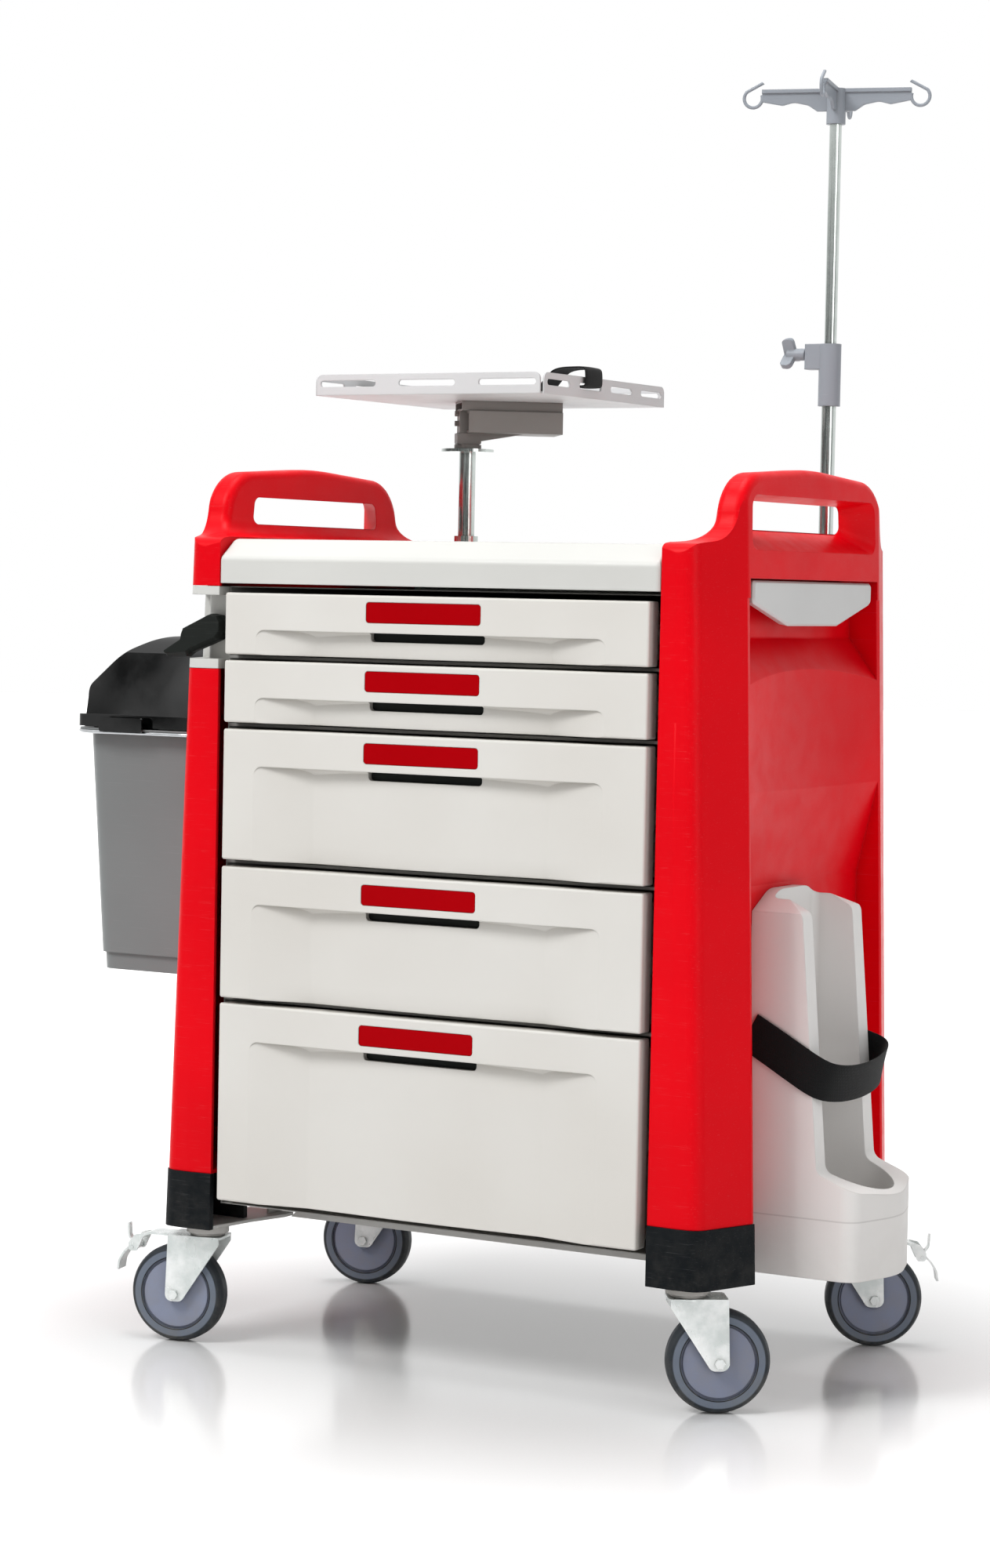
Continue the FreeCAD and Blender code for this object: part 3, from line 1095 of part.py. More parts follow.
def build_knob(parts):
    """Three-winged clamping knob with its screw, turning about X."""
    x0 = POLE_X - CLAMP_BLOCK_REACH - KNOB_LEN - 1
    hub = cylinder(KNOB_HUB_R, (x0 + 6, POLE_Y, KNOB_Z), (1, 0, 0), KNOB_LEN - 6)
    screw = cylinder(KNOB_SCREW_R, (x0 + 10, POLE_Y, KNOB_Z), (1, 0, 0), POLE_X - ROD_R - 0.4 - x0 - 10)
    wings = []
    for i in range(3):
        wing = prism([(x0 + 2, KNOB_Z, 0), (x0, KNOB_Z + KNOB_R - 2, 5), (x0 + 15, KNOB_Z + KNOB_R, 6),
                      (x0 + 18, KNOB_Z, 0)], "XZ", POLE_Y - WING_T / 2, POLE_Y + WING_T / 2)
        wing.rotate(V(0, POLE_Y, KNOB_Z), V(1, 0, 0), 120 * i + 20)
        wings.append(wing)
    parts["clamp_knob"] = fuse([hub, screw] + wings)


def hook_wire():
    """Curled hook at the end of an arm along +X, its circle in the XZ plane."""
    z = HOOK_Z
    angles = [math.radians(a) for a in (20, -90, -225)]
    on = [V(HOOK_REACH - HOOK_R * math.cos(a), 0, z + HOOK_R * math.sin(a)) for a in angles]
    tip = V(HOOK_REACH - 13, 0, z + 20)
    path = Part.Wire([Part.Arc(*on).toShape(), Part.makeLine(on[2], tip)])
    section = Part.Wire(Part.makeCircle(HOOK_WIRE_R, on[0], V(math.sin(angles[0]), 0, math.cos(angles[0]))))
    return path.makePipeShell([section], True, False)


def build_rod_and_head(parts):
    """Sliding rod and the four-armed hook head that turns on its tip."""
    top = HEAD_LOW_Z + HEAD_H - 8
    parts["pole_rod"] = ring(ROD_R, ROD_R - ROD_WALL, (POLE_X, POLE_Y, ROD_LOW_Z), (0, 0, 1), top - ROD_LOW_Z)
    arm_top = HEAD_LOW_Z + HEAD_H
    tip = HOOK_REACH - HOOK_R
    web = [(5, arm_top - 2, 0), (5, HEAD_LOW_Z + 17, 0), (25, HEAD_LOW_Z + 17, 3),
           (37, HEAD_LOW_Z + 25, 12), (56, HEAD_LOW_Z + 29, 20), (71, HEAD_LOW_Z + 25, 6),
           (tip, HEAD_LOW_Z + 30, 2), (tip, arm_top - 2, 2)]
    arm = fuse([prism(web, "XZ", -2.2, 2.2), box(5, tip, -4.5, 4.5, arm_top - 5, arm_top), hook_wire()])
    hub = cylinder(HEAD_R, (0, 0, HEAD_LOW_Z), (0, 0, 1), HEAD_H)
    head = fuse([hub] + [turned(arm, 90 * i) for i in range(4)])
    head = head.cut(cylinder(ROD_R + AXLE_FIT, (0, 0, HEAD_LOW_Z - 1), (0, 0, 1), HEAD_H - 6.7))
    parts["hook_head"] = turned(head, HEAD_TURN, POLE_X, POLE_Y)


# ================================================================ monitor shelf
def build_post(parts):
    """Post standing on the worktop, with its foot and support disc."""
    floor = WORKTOP_TOP_Z - WORKTOP_SINK
    post = cylinder(POST_R, (POST_X, POST_Y, floor), (0, 0, 1), POST_TOP_Z - floor)
    foot = cylinder(POST_FOOT_R, (POST_X, POST_Y, floor), (0, 0, 1), POST_FOOT_T)
    collar = cylinder(POST_R + 5, (POST_X, POST_Y, floor), (0, 0, 1), POST_FOOT_T + 14)
    disc = cylinder(DISC_R, (POST_X, POST_Y, POST_TOP_Z), (0, 0, 1), DISC_T)
    pivot = cylinder(PIVOT_R, (POST_X, POST_Y, POST_TOP_Z), (0, 0, 1), PIVOT_LEN)
    post = fuse([post, foot, collar, disc, pivot])
    bore = cylinder(POST_R - POST_WALL, (POST_X, POST_Y, floor - 1), (0, 0, 1), POST_TOP_Z - floor - 4)
    parts["monitor_post"] = post.cut(bore)


def build_shelf_arm(parts):
    """Swivel bracket between the post and the monitor tray."""
    low = POST_TOP_Z + DISC_T + 0.4
    collar = cylinder(POST_R + 7, (0, 0, low), (0, 0, 1), ARM_PLATE_Z - low)
    low_z = BLOCK_LOW_Z
    top_z = BLOCK_LOW_Z + BLOCK_H
    wall = BLOCK_WALL
    half = BLOCK_W / 2
    far = BLOCK_LEN - 8
    gusset = prism([(-16, ARM_PLATE_Z, 3), (16, ARM_PLATE_Z, 3), (16, ARM_PLATE_Z + 5, 0),
                    (GUSSET_REACH, low_z, 0), (-16, low_z, 0)], "XZ", -GUSSET_W / 2, GUSSET_W / 2)
    main = box(-4, far, -half, half, low_z, top_z)
    main = main.cut(box(-5, BLOCK_LEN, wall - half, half - wall, low_z + wall, top_z - wall))
    upper = box(-13, far, 4 - half, half - 4, top_z, TRAY_Z)
    upper = upper.cut(box(-14, BLOCK_LEN, 4 + wall - half, half - 4 - wall, top_z + 2, TRAY_Z - 2))
    post_block = box(-13, 16, -14, 14, low_z, top_z + 3)
    bolts = [hexagon(7, (-13, 0, low_z + rise), (-1, 0, 0), 5) for rise in (13, 26)]
    arm = fuse([collar, gusset, main, upper, post_block] + bolts)
    arm = arm.cut(cylinder(PIVOT_R + AXLE_FIT, (0, 0, low - 1), (0, 0, 1), PIVOT_LEN - DISC_T + 2))
    parts["shelf_arm"] = turned(arm, ARM_TURN, POST_X, POST_Y)


def tray_flange(slots, half_slot):
    """One upright flange of the tray, along X at the front, with its slots."""
    end = TRAY_HALF - TRAY_GAP
    flange = [(-end, TRAY_Z, 0), (end, TRAY_Z, 0), (end, TRAY_Z + TRAY_LIP, 9), (-end, TRAY_Z + TRAY_LIP, 9)]
    shape = prism(flange, "XZ", -TRAY_HALF, -TRAY_HALF + TRAY_T)
    z = TRAY_Z + TRAY_LIP / 2 + 1.5
    half = TRAY_SLOT_H / 2
    for middle in slots:
        slot = rectangle(middle - half_slot, middle + half_slot, z - half, z + half, half - 0.01)
        shape = shape.cut(prism(slot, "XZ", -TRAY_HALF - 1, -TRAY_HALF + TRAY_T + 1))
    return shape


def build_tray(parts):
    """Square monitor tray with slotted flanges and open corners."""
    end = TRAY_HALF - TRAY_GAP
    plate = prism(rectangle(-end, end, -end, end, 3), "XY", TRAY_Z, TRAY_Z + TRAY_T)
    strips = [box(-end, end, -TRAY_HALF, TRAY_HALF, TRAY_Z, TRAY_Z + TRAY_T),
              box(-TRAY_HALF, TRAY_HALF, -end, end, TRAY_Z, TRAY_Z + TRAY_T)]
    front = tray_flange(TRAY_LONG_SLOTS, 42)
    right = turned(tray_flange(TRAY_SHORT_SLOTS, 30), 90)
    tray = fuse([plate] + strips + [front, right, turned(front, 180), turned(right, 180)])
    tray.translate(V(TRAY_MID_X, TRAY_MID_Y, 0))
    parts["monitor_tray"] = tray


def build_tray_strap(parts):
    """Webbing strap through the right flange, folded over it and laid across the tray to the left flange."""
    end = TRAY_HALF
    slot_z = TRAY_Z + TRAY_LIP / 2 + 1.5
    floor = TRAY_Z + TRAY_T + 1.5
    crest = TRAY_Z + TRAY_LIP + TIE_RISE
    path = [(end - 14, slot_z, 0), (end + 3.5, slot_z, 2.5), (end + 3.5, crest, 8), (end - 44, crest, 20),
            (end - 78, floor, 30), (44 - end, floor, 30), (12 - end, slot_z, 14), (-end - 3, slot_z, 0)]
    middle = TRAY_SHORT_SLOTS[1]
    strap = band(path, TIE_T, "XZ", middle - TIE_W / 2, middle + TIE_W / 2)
    strap.translate(V(TRAY_MID_X, TRAY_MID_Y, 0))
    parts["tray_strap"] = strap


# ================================================================ fasteners
def pan_screw(base, along, radius=5.0):
    """Domed screw head on a surface."""
    head = cylinder(radius, base, along, 2.4)
    crown = [e for e in head.Edges if abs(edge_middle(e).distanceToPoint(V(*base)) - radius) > 0.1]
    drive = hexagon(3, (V(*base) + V(*along) * 1.2), along, 3)
    return head.makeFillet(1.2, crown[:1]).cut(drive) if crown else head.cut(drive)


def build_fasteners(parts):
    """Visible screw heads."""
    heads = []
    for y in (-HOLDER_SCREW_Y, HOLDER_SCREW_Y):
        heads.append(pan_screw((TROUGH_X, HOLDER_Y + y, HOLDER_SCREW_Z), (1, 0, 0)))
    for z in POLE_BRACKETS_Z:
        for x in (-BRACKET_SCREW_X, BRACKET_SCREW_X):
            seat = HALF_DEPTH - CARCASS_BACK + 0.2 + BRACKET_FOOT_T
            heads.append(pan_screw((POLE_X + x, seat, z), (0, 1, 0), 4))
    foot = WORKTOP_TOP_Z - WORKTOP_SINK + POST_FOOT_T
    for i in range(4):
        a = math.radians(45 + 90 * i)
        heads.append(pan_screw((POST_X + 28 * math.cos(a), POST_Y + 28 * math.sin(a), foot), (0, 0, 1), 4))
    parts["screws"] = Part.makeCompound(heads)


def main():
    """Write every sub-part to its own file."""
    parts = {}
    build_sides(parts)
    build_base(parts)
    build_carcass(parts)
    build_worktop(parts)
    for number in DRAWER_BANDS:
        build_drawer(parts, number)
    build_runners(parts)
    build_side_shelf(parts)
    build_castors(parts)
    build_holder(parts)
    build_cylinder_strap(parts)
    build_bin(parts)
    build_bin_lid(parts)
    build_bin_hanger(parts)
    build_lock(parts)
    build_pole(parts)
    build_knob(parts)
    build_rod_and_head(parts)
    build_post(parts)
    build_shelf_arm(parts)
    build_tray(parts)
    build_tray_strap(parts)
    build_fasteners(parts)
    os.makedirs("parts", exist_ok=True)
    for name, shape in parts.items():
        print(name, shape.ShapeType, shape.isValid(), round(shape.Volume / 1000), "cm3", len(shape.Solids))
        shape.exportStep("parts/" + name + ".step")


main()
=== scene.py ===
# %% [markdown]
# # A hospital crash cart
# The cart comes in as a finished CAD frame: every rigid part already has its
# true size and place, and rides on its own body, so drawers slide and castors
# turn. This lesson dresses that frame. It sets up the camera, builds the
# finishes from shader nodes, models the two webbing straps with Blender's own
# edit tools, and ends with a plain studio.

# %% Load the frame
import bpy
import math
from mathutils import Matrix, Vector


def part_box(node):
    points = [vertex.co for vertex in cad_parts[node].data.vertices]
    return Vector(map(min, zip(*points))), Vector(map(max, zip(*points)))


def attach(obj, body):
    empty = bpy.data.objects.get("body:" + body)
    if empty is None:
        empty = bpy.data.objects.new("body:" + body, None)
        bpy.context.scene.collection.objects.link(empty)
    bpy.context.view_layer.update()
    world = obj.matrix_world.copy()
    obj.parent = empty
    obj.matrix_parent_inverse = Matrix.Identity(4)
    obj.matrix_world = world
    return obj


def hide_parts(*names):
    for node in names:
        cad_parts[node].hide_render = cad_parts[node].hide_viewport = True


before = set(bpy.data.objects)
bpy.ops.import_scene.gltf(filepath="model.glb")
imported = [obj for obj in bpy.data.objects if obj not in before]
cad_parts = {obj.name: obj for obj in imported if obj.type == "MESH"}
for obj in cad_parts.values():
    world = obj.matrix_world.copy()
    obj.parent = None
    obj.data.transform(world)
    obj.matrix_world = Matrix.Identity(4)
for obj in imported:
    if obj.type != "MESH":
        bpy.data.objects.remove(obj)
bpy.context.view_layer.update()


def rounded(numbers):
    return [round(number, 3) for number in numbers]


# %% [markdown]
# ## The camera
# The cart is seen from its front right, a little below the worktop, with a long
# lens, so upright edges stay nearly parallel. A camera looks along its own -Z,
# so its matrix is built from three directions: right, up and back. That is
# clearer here than three turning angles, because the view also has a small roll.
# The Standard view transform shows colours as they are written.

# %% Camera
camera_place = (2.188, -3.970, 0.971)
azimuth = math.radians(29.56)
pitch = math.radians(3.15)
roll = math.radians(1.13)

level_right = Vector((math.cos(azimuth), math.sin(azimuth), 0))
ahead = Vector((-math.sin(azimuth) * math.cos(pitch), math.cos(azimuth) * math.cos(pitch),
                -math.sin(pitch)))
level_up = level_right.cross(ahead)
right = level_right * math.cos(roll) + level_up * math.sin(roll)
up = level_up * math.cos(roll) - level_right * math.sin(roll)

camera_data = bpy.data.cameras.new("portrait camera")
camera_data.sensor_fit = "VERTICAL"
camera_data.sensor_height = 36
camera_data.lens = 81.43
camera_data.clip_end = 100
camera = bpy.data.objects.new("portrait camera", camera_data)
turn = Matrix((right, up, -ahead)).transposed()
camera.matrix_world = Matrix.Translation(camera_place) @ turn.to_4x4()
bpy.context.scene.collection.objects.link(camera)
bpy.context.scene.camera = camera
bpy.context.scene.view_settings.view_transform = "Standard"
print("camera at", rounded(camera.location))

# %% [markdown]
# ## Small helpers for shader nodes
# Shader trees are made of nodes and links. The first helper fills sockets: a
# value that is itself a socket is linked, anything else is typed in. The next
# one adds a node and fills it, and the rest are short names for the nodes that
# come up again and again.

# %% Node helpers
def fill(tree, sockets, values):
    """Link each value that is a socket, and type in the others."""
    for key, value in values.items():
        if isinstance(value, bpy.types.NodeSocket):
            tree.links.new(value, sockets[key])
        else:
            sockets[key].default_value = value


def add_node(tree, kind, inputs=None, **settings):
    made = tree.nodes.new(kind)
    for name, value in settings.items():
        setattr(made, name, value)
    fill(tree, made.inputs, inputs or {})
    return made


def math_node(tree, operation, *values, clamp=False):
    made = add_node(tree, "ShaderNodeMath", dict(enumerate(values)), operation=operation,
                    use_clamp=clamp)
    return made.outputs[0]


def times(tree, first, *others, clamp=False):
    """Multiply two or more values, one after another."""
    for other in others:
        first = math_node(tree, "MULTIPLY", first, other, clamp=clamp)
    return first


def mix_colour(tree, factor, a, b, blend="MIX"):
    """A Mix node keeps sockets for every data type, and 6, 7 and output 2 are the colours."""
    made = add_node(tree, "ShaderNodeMix", {0: factor, 6: a, 7: b}, data_type="RGBA",
                    blend_type=blend)
    return made.outputs[2]


def noise(tree, place, scale, detail, roughness=0.5):
    made = add_node(tree, "ShaderNodeTexNoise", {"Vector": place, "Scale": scale, "Detail": detail,
                                                 "Roughness": roughness})
    return made.outputs["Fac"]


def spread(tree, value, low, high, to_low=0.0, to_high=1.0):
    """Stretch a value between two limits, smoothly."""
    limits = {"Value": value, "From Min": low, "From Max": high, "To Min": to_low,
              "To Max": to_high}
    return add_node(tree, "ShaderNodeMapRange", limits, interpolation_type="SMOOTHSTEP").outputs[0]


def split(tree, vector):
    """The X, Y and Z of a vector, by name."""
    return add_node(tree, "ShaderNodeSeparateXYZ", {0: vector}).outputs


print("node helpers ready")

# %% [markdown]
# A node group is a small tree that many materials share, like a function. Its
# inputs and outputs are sockets on its interface. Groups here hold only
# patterns and masks, and each shader stays in its own material.

# %% Group helpers
def open_group(name, inputs, outputs):
    """A node group with named inputs (name, kind, default) and outputs (name, kind)."""
    tree = bpy.data.node_groups.new(name, "ShaderNodeTree")
    for label, kind, default in inputs:
        socket = tree.interface.new_socket(label, in_out="INPUT", socket_type="NodeSocket" + kind)
        if default is not None:
            socket.default_value = default
    for label, kind in outputs:
        tree.interface.new_socket(label, in_out="OUTPUT", socket_type="NodeSocket" + kind)
    given = tree.nodes.new("NodeGroupInput").outputs
    return tree, given, tree.nodes.new("NodeGroupOutput").inputs


def close_group(tree, sockets, **results):
    fill(tree, sockets, results)
    print("group:", tree.name)
    return tree


def use_group(tree, group, **inputs):
    """Add a group node. An underscore in an input's name stands for a space."""
    values = {name.replace("_", " "): value for name, value in inputs.items()}
    return add_node(tree, "ShaderNodeGroup", values, node_tree=group).outputs


print("group helpers ready")

# %% [markdown]
# ## Shared surface effects
# Large mouldings have a fine spark-eroded grain, and their big faces are never
# quite flat, so reflections wander. The grain is a fine noise and the wander a
# very wide one, and both go out as one height for a Bump node. Because the
# noises read Object coordinates in metres, a scale of 900 gives grains of about
# a millimetre on every part.

# %% Grain of moulded plastic
tree, given, result = open_group(
    "moulded grain",
    [("Place", "Vector", None), ("Grain", "Float", 900.0), ("Depth", "Float", 0.3),
     ("Wander", "Float", 0.5)],
    [("Height", "Float"), ("Mottle", "Float")])
wander_rise = 40.0  # how much deeper the wander is than the grain
fine = times(tree, noise(tree, given["Place"], given["Grain"], 2.0), given["Depth"])
wide = times(tree, given["Wander"], wander_rise, noise(tree, given["Place"], 5.0, 1.0))
mottle = noise(tree, given["Place"], 34.0, 4.0, 0.6)
moulded_grain = close_group(tree, result, Height=math_node(tree, "ADD", fine, wide), Mottle=mottle)

# %% [markdown]
# Handling leaves a veil of tiny scratches. They are a noise squeezed hard in
# one direction, so that it runs out into lines, and only its highest crests
# count.

# %% Fine scratches
tree, given, result = open_group(
    "fine scratches",
    [("Place", "Vector", None), ("Length", "Vector", (4.0, 90.0, 260.0)), ("Amount", "Float", 0.3)],
    [("Mask", "Float")])
drawn_out = add_node(tree, "ShaderNodeVectorMath", {0: given["Place"], 1: given["Length"]},
                     operation="MULTIPLY").outputs[0]
crests = spread(tree, noise(tree, drawn_out, 3.0, 4.0, 0.7), 0.58, 0.72)
fine_scratches = close_group(tree, result, Mask=times(tree, crests, given["Amount"], clamp=True))

# %% [markdown]
# Wheels and corners collect dust near the floor. It is strongest at the floor
# and is broken up by a cloudy noise, and it reads the height straight from the
# Z coordinate.

# %% Floor dust
tree, given, result = open_group(
    "floor dust",
    [("Place", "Vector", None), ("Reach", "Float", 0.2), ("Amount", "Float", 0.4)],
    [("Mask", "Float")])
share = math_node(tree, "DIVIDE", split(tree, given["Place"])["Z"], given["Reach"])
low = math_node(tree, "SUBTRACT", 1.0, share, clamp=True)
cloud = spread(tree, noise(tree, given["Place"], 42.0, 5.0, 0.65), 0.35, 0.7)
floor_dust = close_group(tree, result, Mask=times(tree, low, cloud, given["Amount"], clamp=True))

# %% [markdown]
# Edges of plastic and metal catch the light and lose their colour first. The
# Bevel node gives the normal a part would have if its edges were rounded. Where
# that differs from the true normal there is an edge, and the difference becomes
# a mask, broken up by noise so the wear isn't an even outline.

# %% Edge rub
tree, given, result = open_group(
    "edge rub",
    [("Place", "Vector", None), ("Radius", "Float", 0.0015), ("Amount", "Float", 0.5)],
    [("Mask", "Float")])
soft_normal = add_node(tree, "ShaderNodeBevel", {"Radius": given["Radius"]}, samples=4).outputs[0]
true_normal = add_node(tree, "ShaderNodeNewGeometry").outputs["Normal"]
alike = add_node(tree, "ShaderNodeVectorMath", {0: soft_normal, 1: true_normal},
                 operation="DOT_PRODUCT").outputs["Value"]
edge = spread(tree, math_node(tree, "SUBTRACT", 1.0, alike), 0.02, 0.22)
patchy = spread(tree, noise(tree, given["Place"], 60.0, 4.0, 0.6), 0.3, 0.75)
edge_rub = close_group(tree, result, Mask=times(tree, edge, patchy, given["Amount"], clamp=True))

# %% [markdown]
# Narrow corners get painted shade. The Ambient Occlusion node looks
# around each point over a short distance, and the share of blocked directions
# becomes a mask, strong under a ledge and beside a label.

# %% Corner shade
tree, given, result = open_group(
    "corner shade",
    [("Distance", "Float", 0.02), ("Amount", "Float", 0.5)],
    [("Mask", "Float")])
open_share = add_node(tree, "ShaderNodeAmbientOcclusion", {"Distance": given["Distance"]},
                      samples=6).outputs["AO"]
blocked = spread(tree, open_share, 0.35, 0.97, 1.0, 0.0)
corner_shade = close_group(tree, result, Mask=times(tree, blocked, given["Amount"], clamp=True))

# %% [markdown]
# ## Starting a material
# Every finish starts the same way: one Principled shader joined to the output,
# and Object coordinates, which are metres on the cart. Colours are written as
# the hex codes a colour picker shows, and sockets expect linear values, so a
# helper converts them. Two more helpers lay painted corner shade and dust on a tint.

# %% Material helpers
def colour(text):
    """sRGB hex to the linear colour that sockets expect."""
    channels = [int(text[i:i + 2], 16) / 255 for i in (0, 2, 4)]
    linear = [c / 12.92 if c <= 0.04045 else ((c + 0.055) / 1.055) ** 2.4 for c in channels]
    return (*linear, 1.0)


def start_material(name):
    material = bpy.data.materials.new(name)
    material.use_nodes = True
    tree = material.node_tree
    tree.nodes.clear()
    shader = add_node(tree, "ShaderNodeBsdfPrincipled")
    add_node(tree, "ShaderNodeOutputMaterial", {"Surface": shader.outputs[0]})
    print("finish:", name)
    return material, tree, shader.inputs, add_node(tree, "ShaderNodeTexCoord").outputs["Object"]


def add_bump(tree, shader, height, strength, distance, rounding=0.0):
    """Bump on top of the true normal, or of one with its edges rounded."""
    bump = add_node(tree, "ShaderNodeBump", {"Height": height, "Strength": strength,
                                             "Distance": distance})
    if rounding:
        soft_edge = add_node(tree, "ShaderNodeBevel", {"Radius": rounding}, samples=4)
        fill(tree, bump.inputs, {"Normal": soft_edge.outputs[0]})
    fill(tree, shader, {"Normal": bump.outputs[0]})


# Painted shade: the tint is multiplied by a dark shade tint wherever the AO mask finds a narrow
# corner.
def shade_corners(tree, tint, shade_tint, distance, amount):
    deep = use_group(tree, corner_shade, Distance=distance, Amount=amount)["Mask"]
    return mix_colour(tree, deep, tint, mix_colour(tree, 1.0, tint, shade_tint, "MULTIPLY"))


def lay_dust(tree, tint, place, grime, reach, amount):
    dusty = use_group(tree, floor_dust, Place=place, Reach=reach, Amount=amount)["Mask"]
    return mix_colour(tree, dusty, tint, colour(grime))


print("material helpers ready")

# %% [markdown]
# ## Moulded plastics
# Most of the cart is moulded: red side columns, white fronts, grey holder and
# bin. They share one recipe with different values. The colour drifts a little
# over the part, the grain and the wander go to the bump, and the mottle moves
# the roughness so that highlights break up. Real mouldings have no sharp edges,
# so a Bevel node gives each edge a small rounding before the bump is added.

# %% Recipe for moulded plastic
def moulded(name, base, shade, rough, grain=900.0, depth=0.3, wander=0.5, shine=0.3, dust=0.0,
            scratch=0.15, rub="", seam=0.0, corners=0.4, near=0.022):
    """Base and shade are the two ends of the drift, and seam is the height of a joint line."""
    material, tree, shader, place = start_material(name)
    skin = use_group(tree, moulded_grain, Place=place, Grain=grain, Depth=depth, Wander=wander)
    drift = spread(tree, noise(tree, place, 3.2, 2.0), 0.3, 0.7)
    tint = mix_colour(tree, drift, colour(base), colour(shade))
    worn = use_group(tree, fine_scratches, Place=place, Amount=scratch)["Mask"]
    tint = mix_colour(tree, times(tree, worn, 0.25), tint, (0.8, 0.8, 0.8, 1.0))
    # Painted shade: corners, recesses and the ground under ledges are darkened by the corner shade
    # mask.
    tint = shade_corners(tree, tint, (0.45, 0.43, 0.40, 1.0), near, corners)
    if seam:
        off_seam = math_node(tree, "SUBTRACT", split(tree, place)["Z"], seam)
        line = spread(tree, math_node(tree, "ABSOLUTE", off_seam), 0.0004, 0.0014, 0.25, 0.0)
        tint = mix_colour(tree, line, tint, colour("77736F"))
    if rub:
        edges = use_group(tree, edge_rub, Place=place, Radius=0.0014, Amount=0.45)["Mask"]
        tint = mix_colour(tree, edges, tint, colour(rub))
    if dust:
        tint = lay_dust(tree, tint, place, "8F8A82", reach=0.25, amount=dust)
    gloss = spread(tree, skin["Mottle"], 0.25, 0.75, rough - 0.05, rough + 0.06)
    roughness = math_node(tree, "ADD", gloss, times(tree, worn, 0.2))
    fill(tree, shader, {"Base Color": tint, "Roughness": roughness, "Specular IOR Level": shine})
    add_bump(tree, shader, skin["Height"], 0.35, 0.0004, rounding=0.002)
    return material


# %% [markdown]
# Each plastic is one call. The reds and blacks get a low specular level, because
# their colour would wash out under a bright studio. Only parts that are knocked
# often have rubbed edges, and only parts near the floor have dust.

# %% The plastics
red_column = moulded("red moulding", "EA0013", "DC0011", 0.38, shine=0.09)
# The drawer white gets stronger and wider painted corner shade, which darkens the recess under each
# drawer's lip.
white_front = moulded("drawer white", "DEDCD7", "D8D5CF", 0.42, depth=0.25, corners=0.75, near=0.03)
white_cover = moulded("cover white", "D5D5D1", "CFCFCB", 0.36, depth=0.2)
shelf_white = moulded("shelf white", "D6D6D5", "CECECD", 0.45)
holder_grey = moulded("holder grey", "E9E7E5", "E1DFDC", 0.5, depth=0.4, dust=0.12, seam=0.226)
bin_grey = moulded("bin grey", "838686", "7C7F7F", 0.33, depth=0.15, wander=1.0)
label_red = moulded("label red", "AC0009", "A40007", 0.34, depth=0.15, wander=0.2, shine=0.03,
                    scratch=0.0)
grip_black = moulded("grip black", "1B1F1C", "161917", 0.5, shine=0.15, rub="3A3E3A")
bumper_black = moulded("bumper black", "14181B", "101417", 0.55, depth=0.5, shine=0.08, dust=0.15,
                       rub="3A3F44")
pole_grey = moulded("pole plastic", "9CA1A8", "949AA2", 0.42, rub="B9BDC2")
arm_grey = moulded("arm grey", "94918E", "8C8986", 0.45, shine=0.2, rub="B0AEAC")
hub_grey = moulded("hub plastic", "8C93A8", "858B9F", 0.45, depth=0.5, shine=0.2, dust=0.3)

# %% [markdown]
# The bin's lid is a glossy dark plastic, close to a piano finish. It has hardly
# any grain, a high specular level, and a slow wander that bends reflections.

# %% Glossy lid
lid_gloss, tree, shader, place = start_material("lid gloss")
skin = use_group(tree, moulded_grain, Place=place, Grain=300.0, Depth=0.02, Wander=0.9)
smear = use_group(tree, fine_scratches, Place=place, Length=(60.0, 5.0, 60.0), Amount=0.5)["Mask"]
fill(tree, shader, {
    "Base Color": mix_colour(tree, smear, colour("040505"), colour("101112")),
    "Roughness": spread(tree, skin["Mottle"], 0.3, 0.8, 0.05, 0.12),
    "Specular IOR Level": 0.9})
add_bump(tree, shader, skin["Height"], 0.3, 0.0004)

# %% [markdown]
# ## Metals
# The pole is chromed and almost a mirror: a metal's colour is its reflection, so
# Metallic is 1 and only tint and roughness vary. The castor forks are zinc
# plated, with a pale, milky skin that a Metallic of about a third gives. Painted
# corner shade draws their creases and bolts. The tray and the cabinet are steel under
# powder coat, which has a pebbled skin.

# %% Recipe for plated metal
def plated(name, base, shade, rough, brush=(30.0, 30.0, 420.0), brush_depth=0.25, dust=0.0,
           metal=1.0):
    """Brush says how closely the polishing lines lie along X, Y and Z."""
    material, tree, shader, place = start_material(name)
    bloom = spread(tree, noise(tree, place, 26.0, 4.0, 0.6), 0.35, 0.68)
    brushed = add_node(tree, "ShaderNodeMapping", {"Vector": place, "Scale": brush}).outputs[0]
    lines = noise(tree, brushed, 4.0, 3.0, 0.6)
    tint = mix_colour(tree, bloom, colour(base), colour(shade))
    if dust:
        tint = lay_dust(tree, tint, place, "6F6A60", reach=0.17, amount=dust)
    # Painted shade: creases and the edges of bolts are darkened by the corner shade mask.
    tint = shade_corners(tree, tint, (0.35, 0.35, 0.34, 1.0), 0.006, 0.6)
    roughness = spread(tree, lines, 0.3, 0.7, rough, rough + 0.12)
    fill(tree, shader, {"Base Color": tint, "Metallic": metal, "Roughness": roughness})
    add_bump(tree, shader, lines, brush_depth, 0.0003)
    return material


# %% [markdown]
# Lines along a tube need a low brush value on the tube's own axis, and the
# chromed pole stands along Z. The powder coats use the moulded recipe with a
# finer grain and a deeper relief.

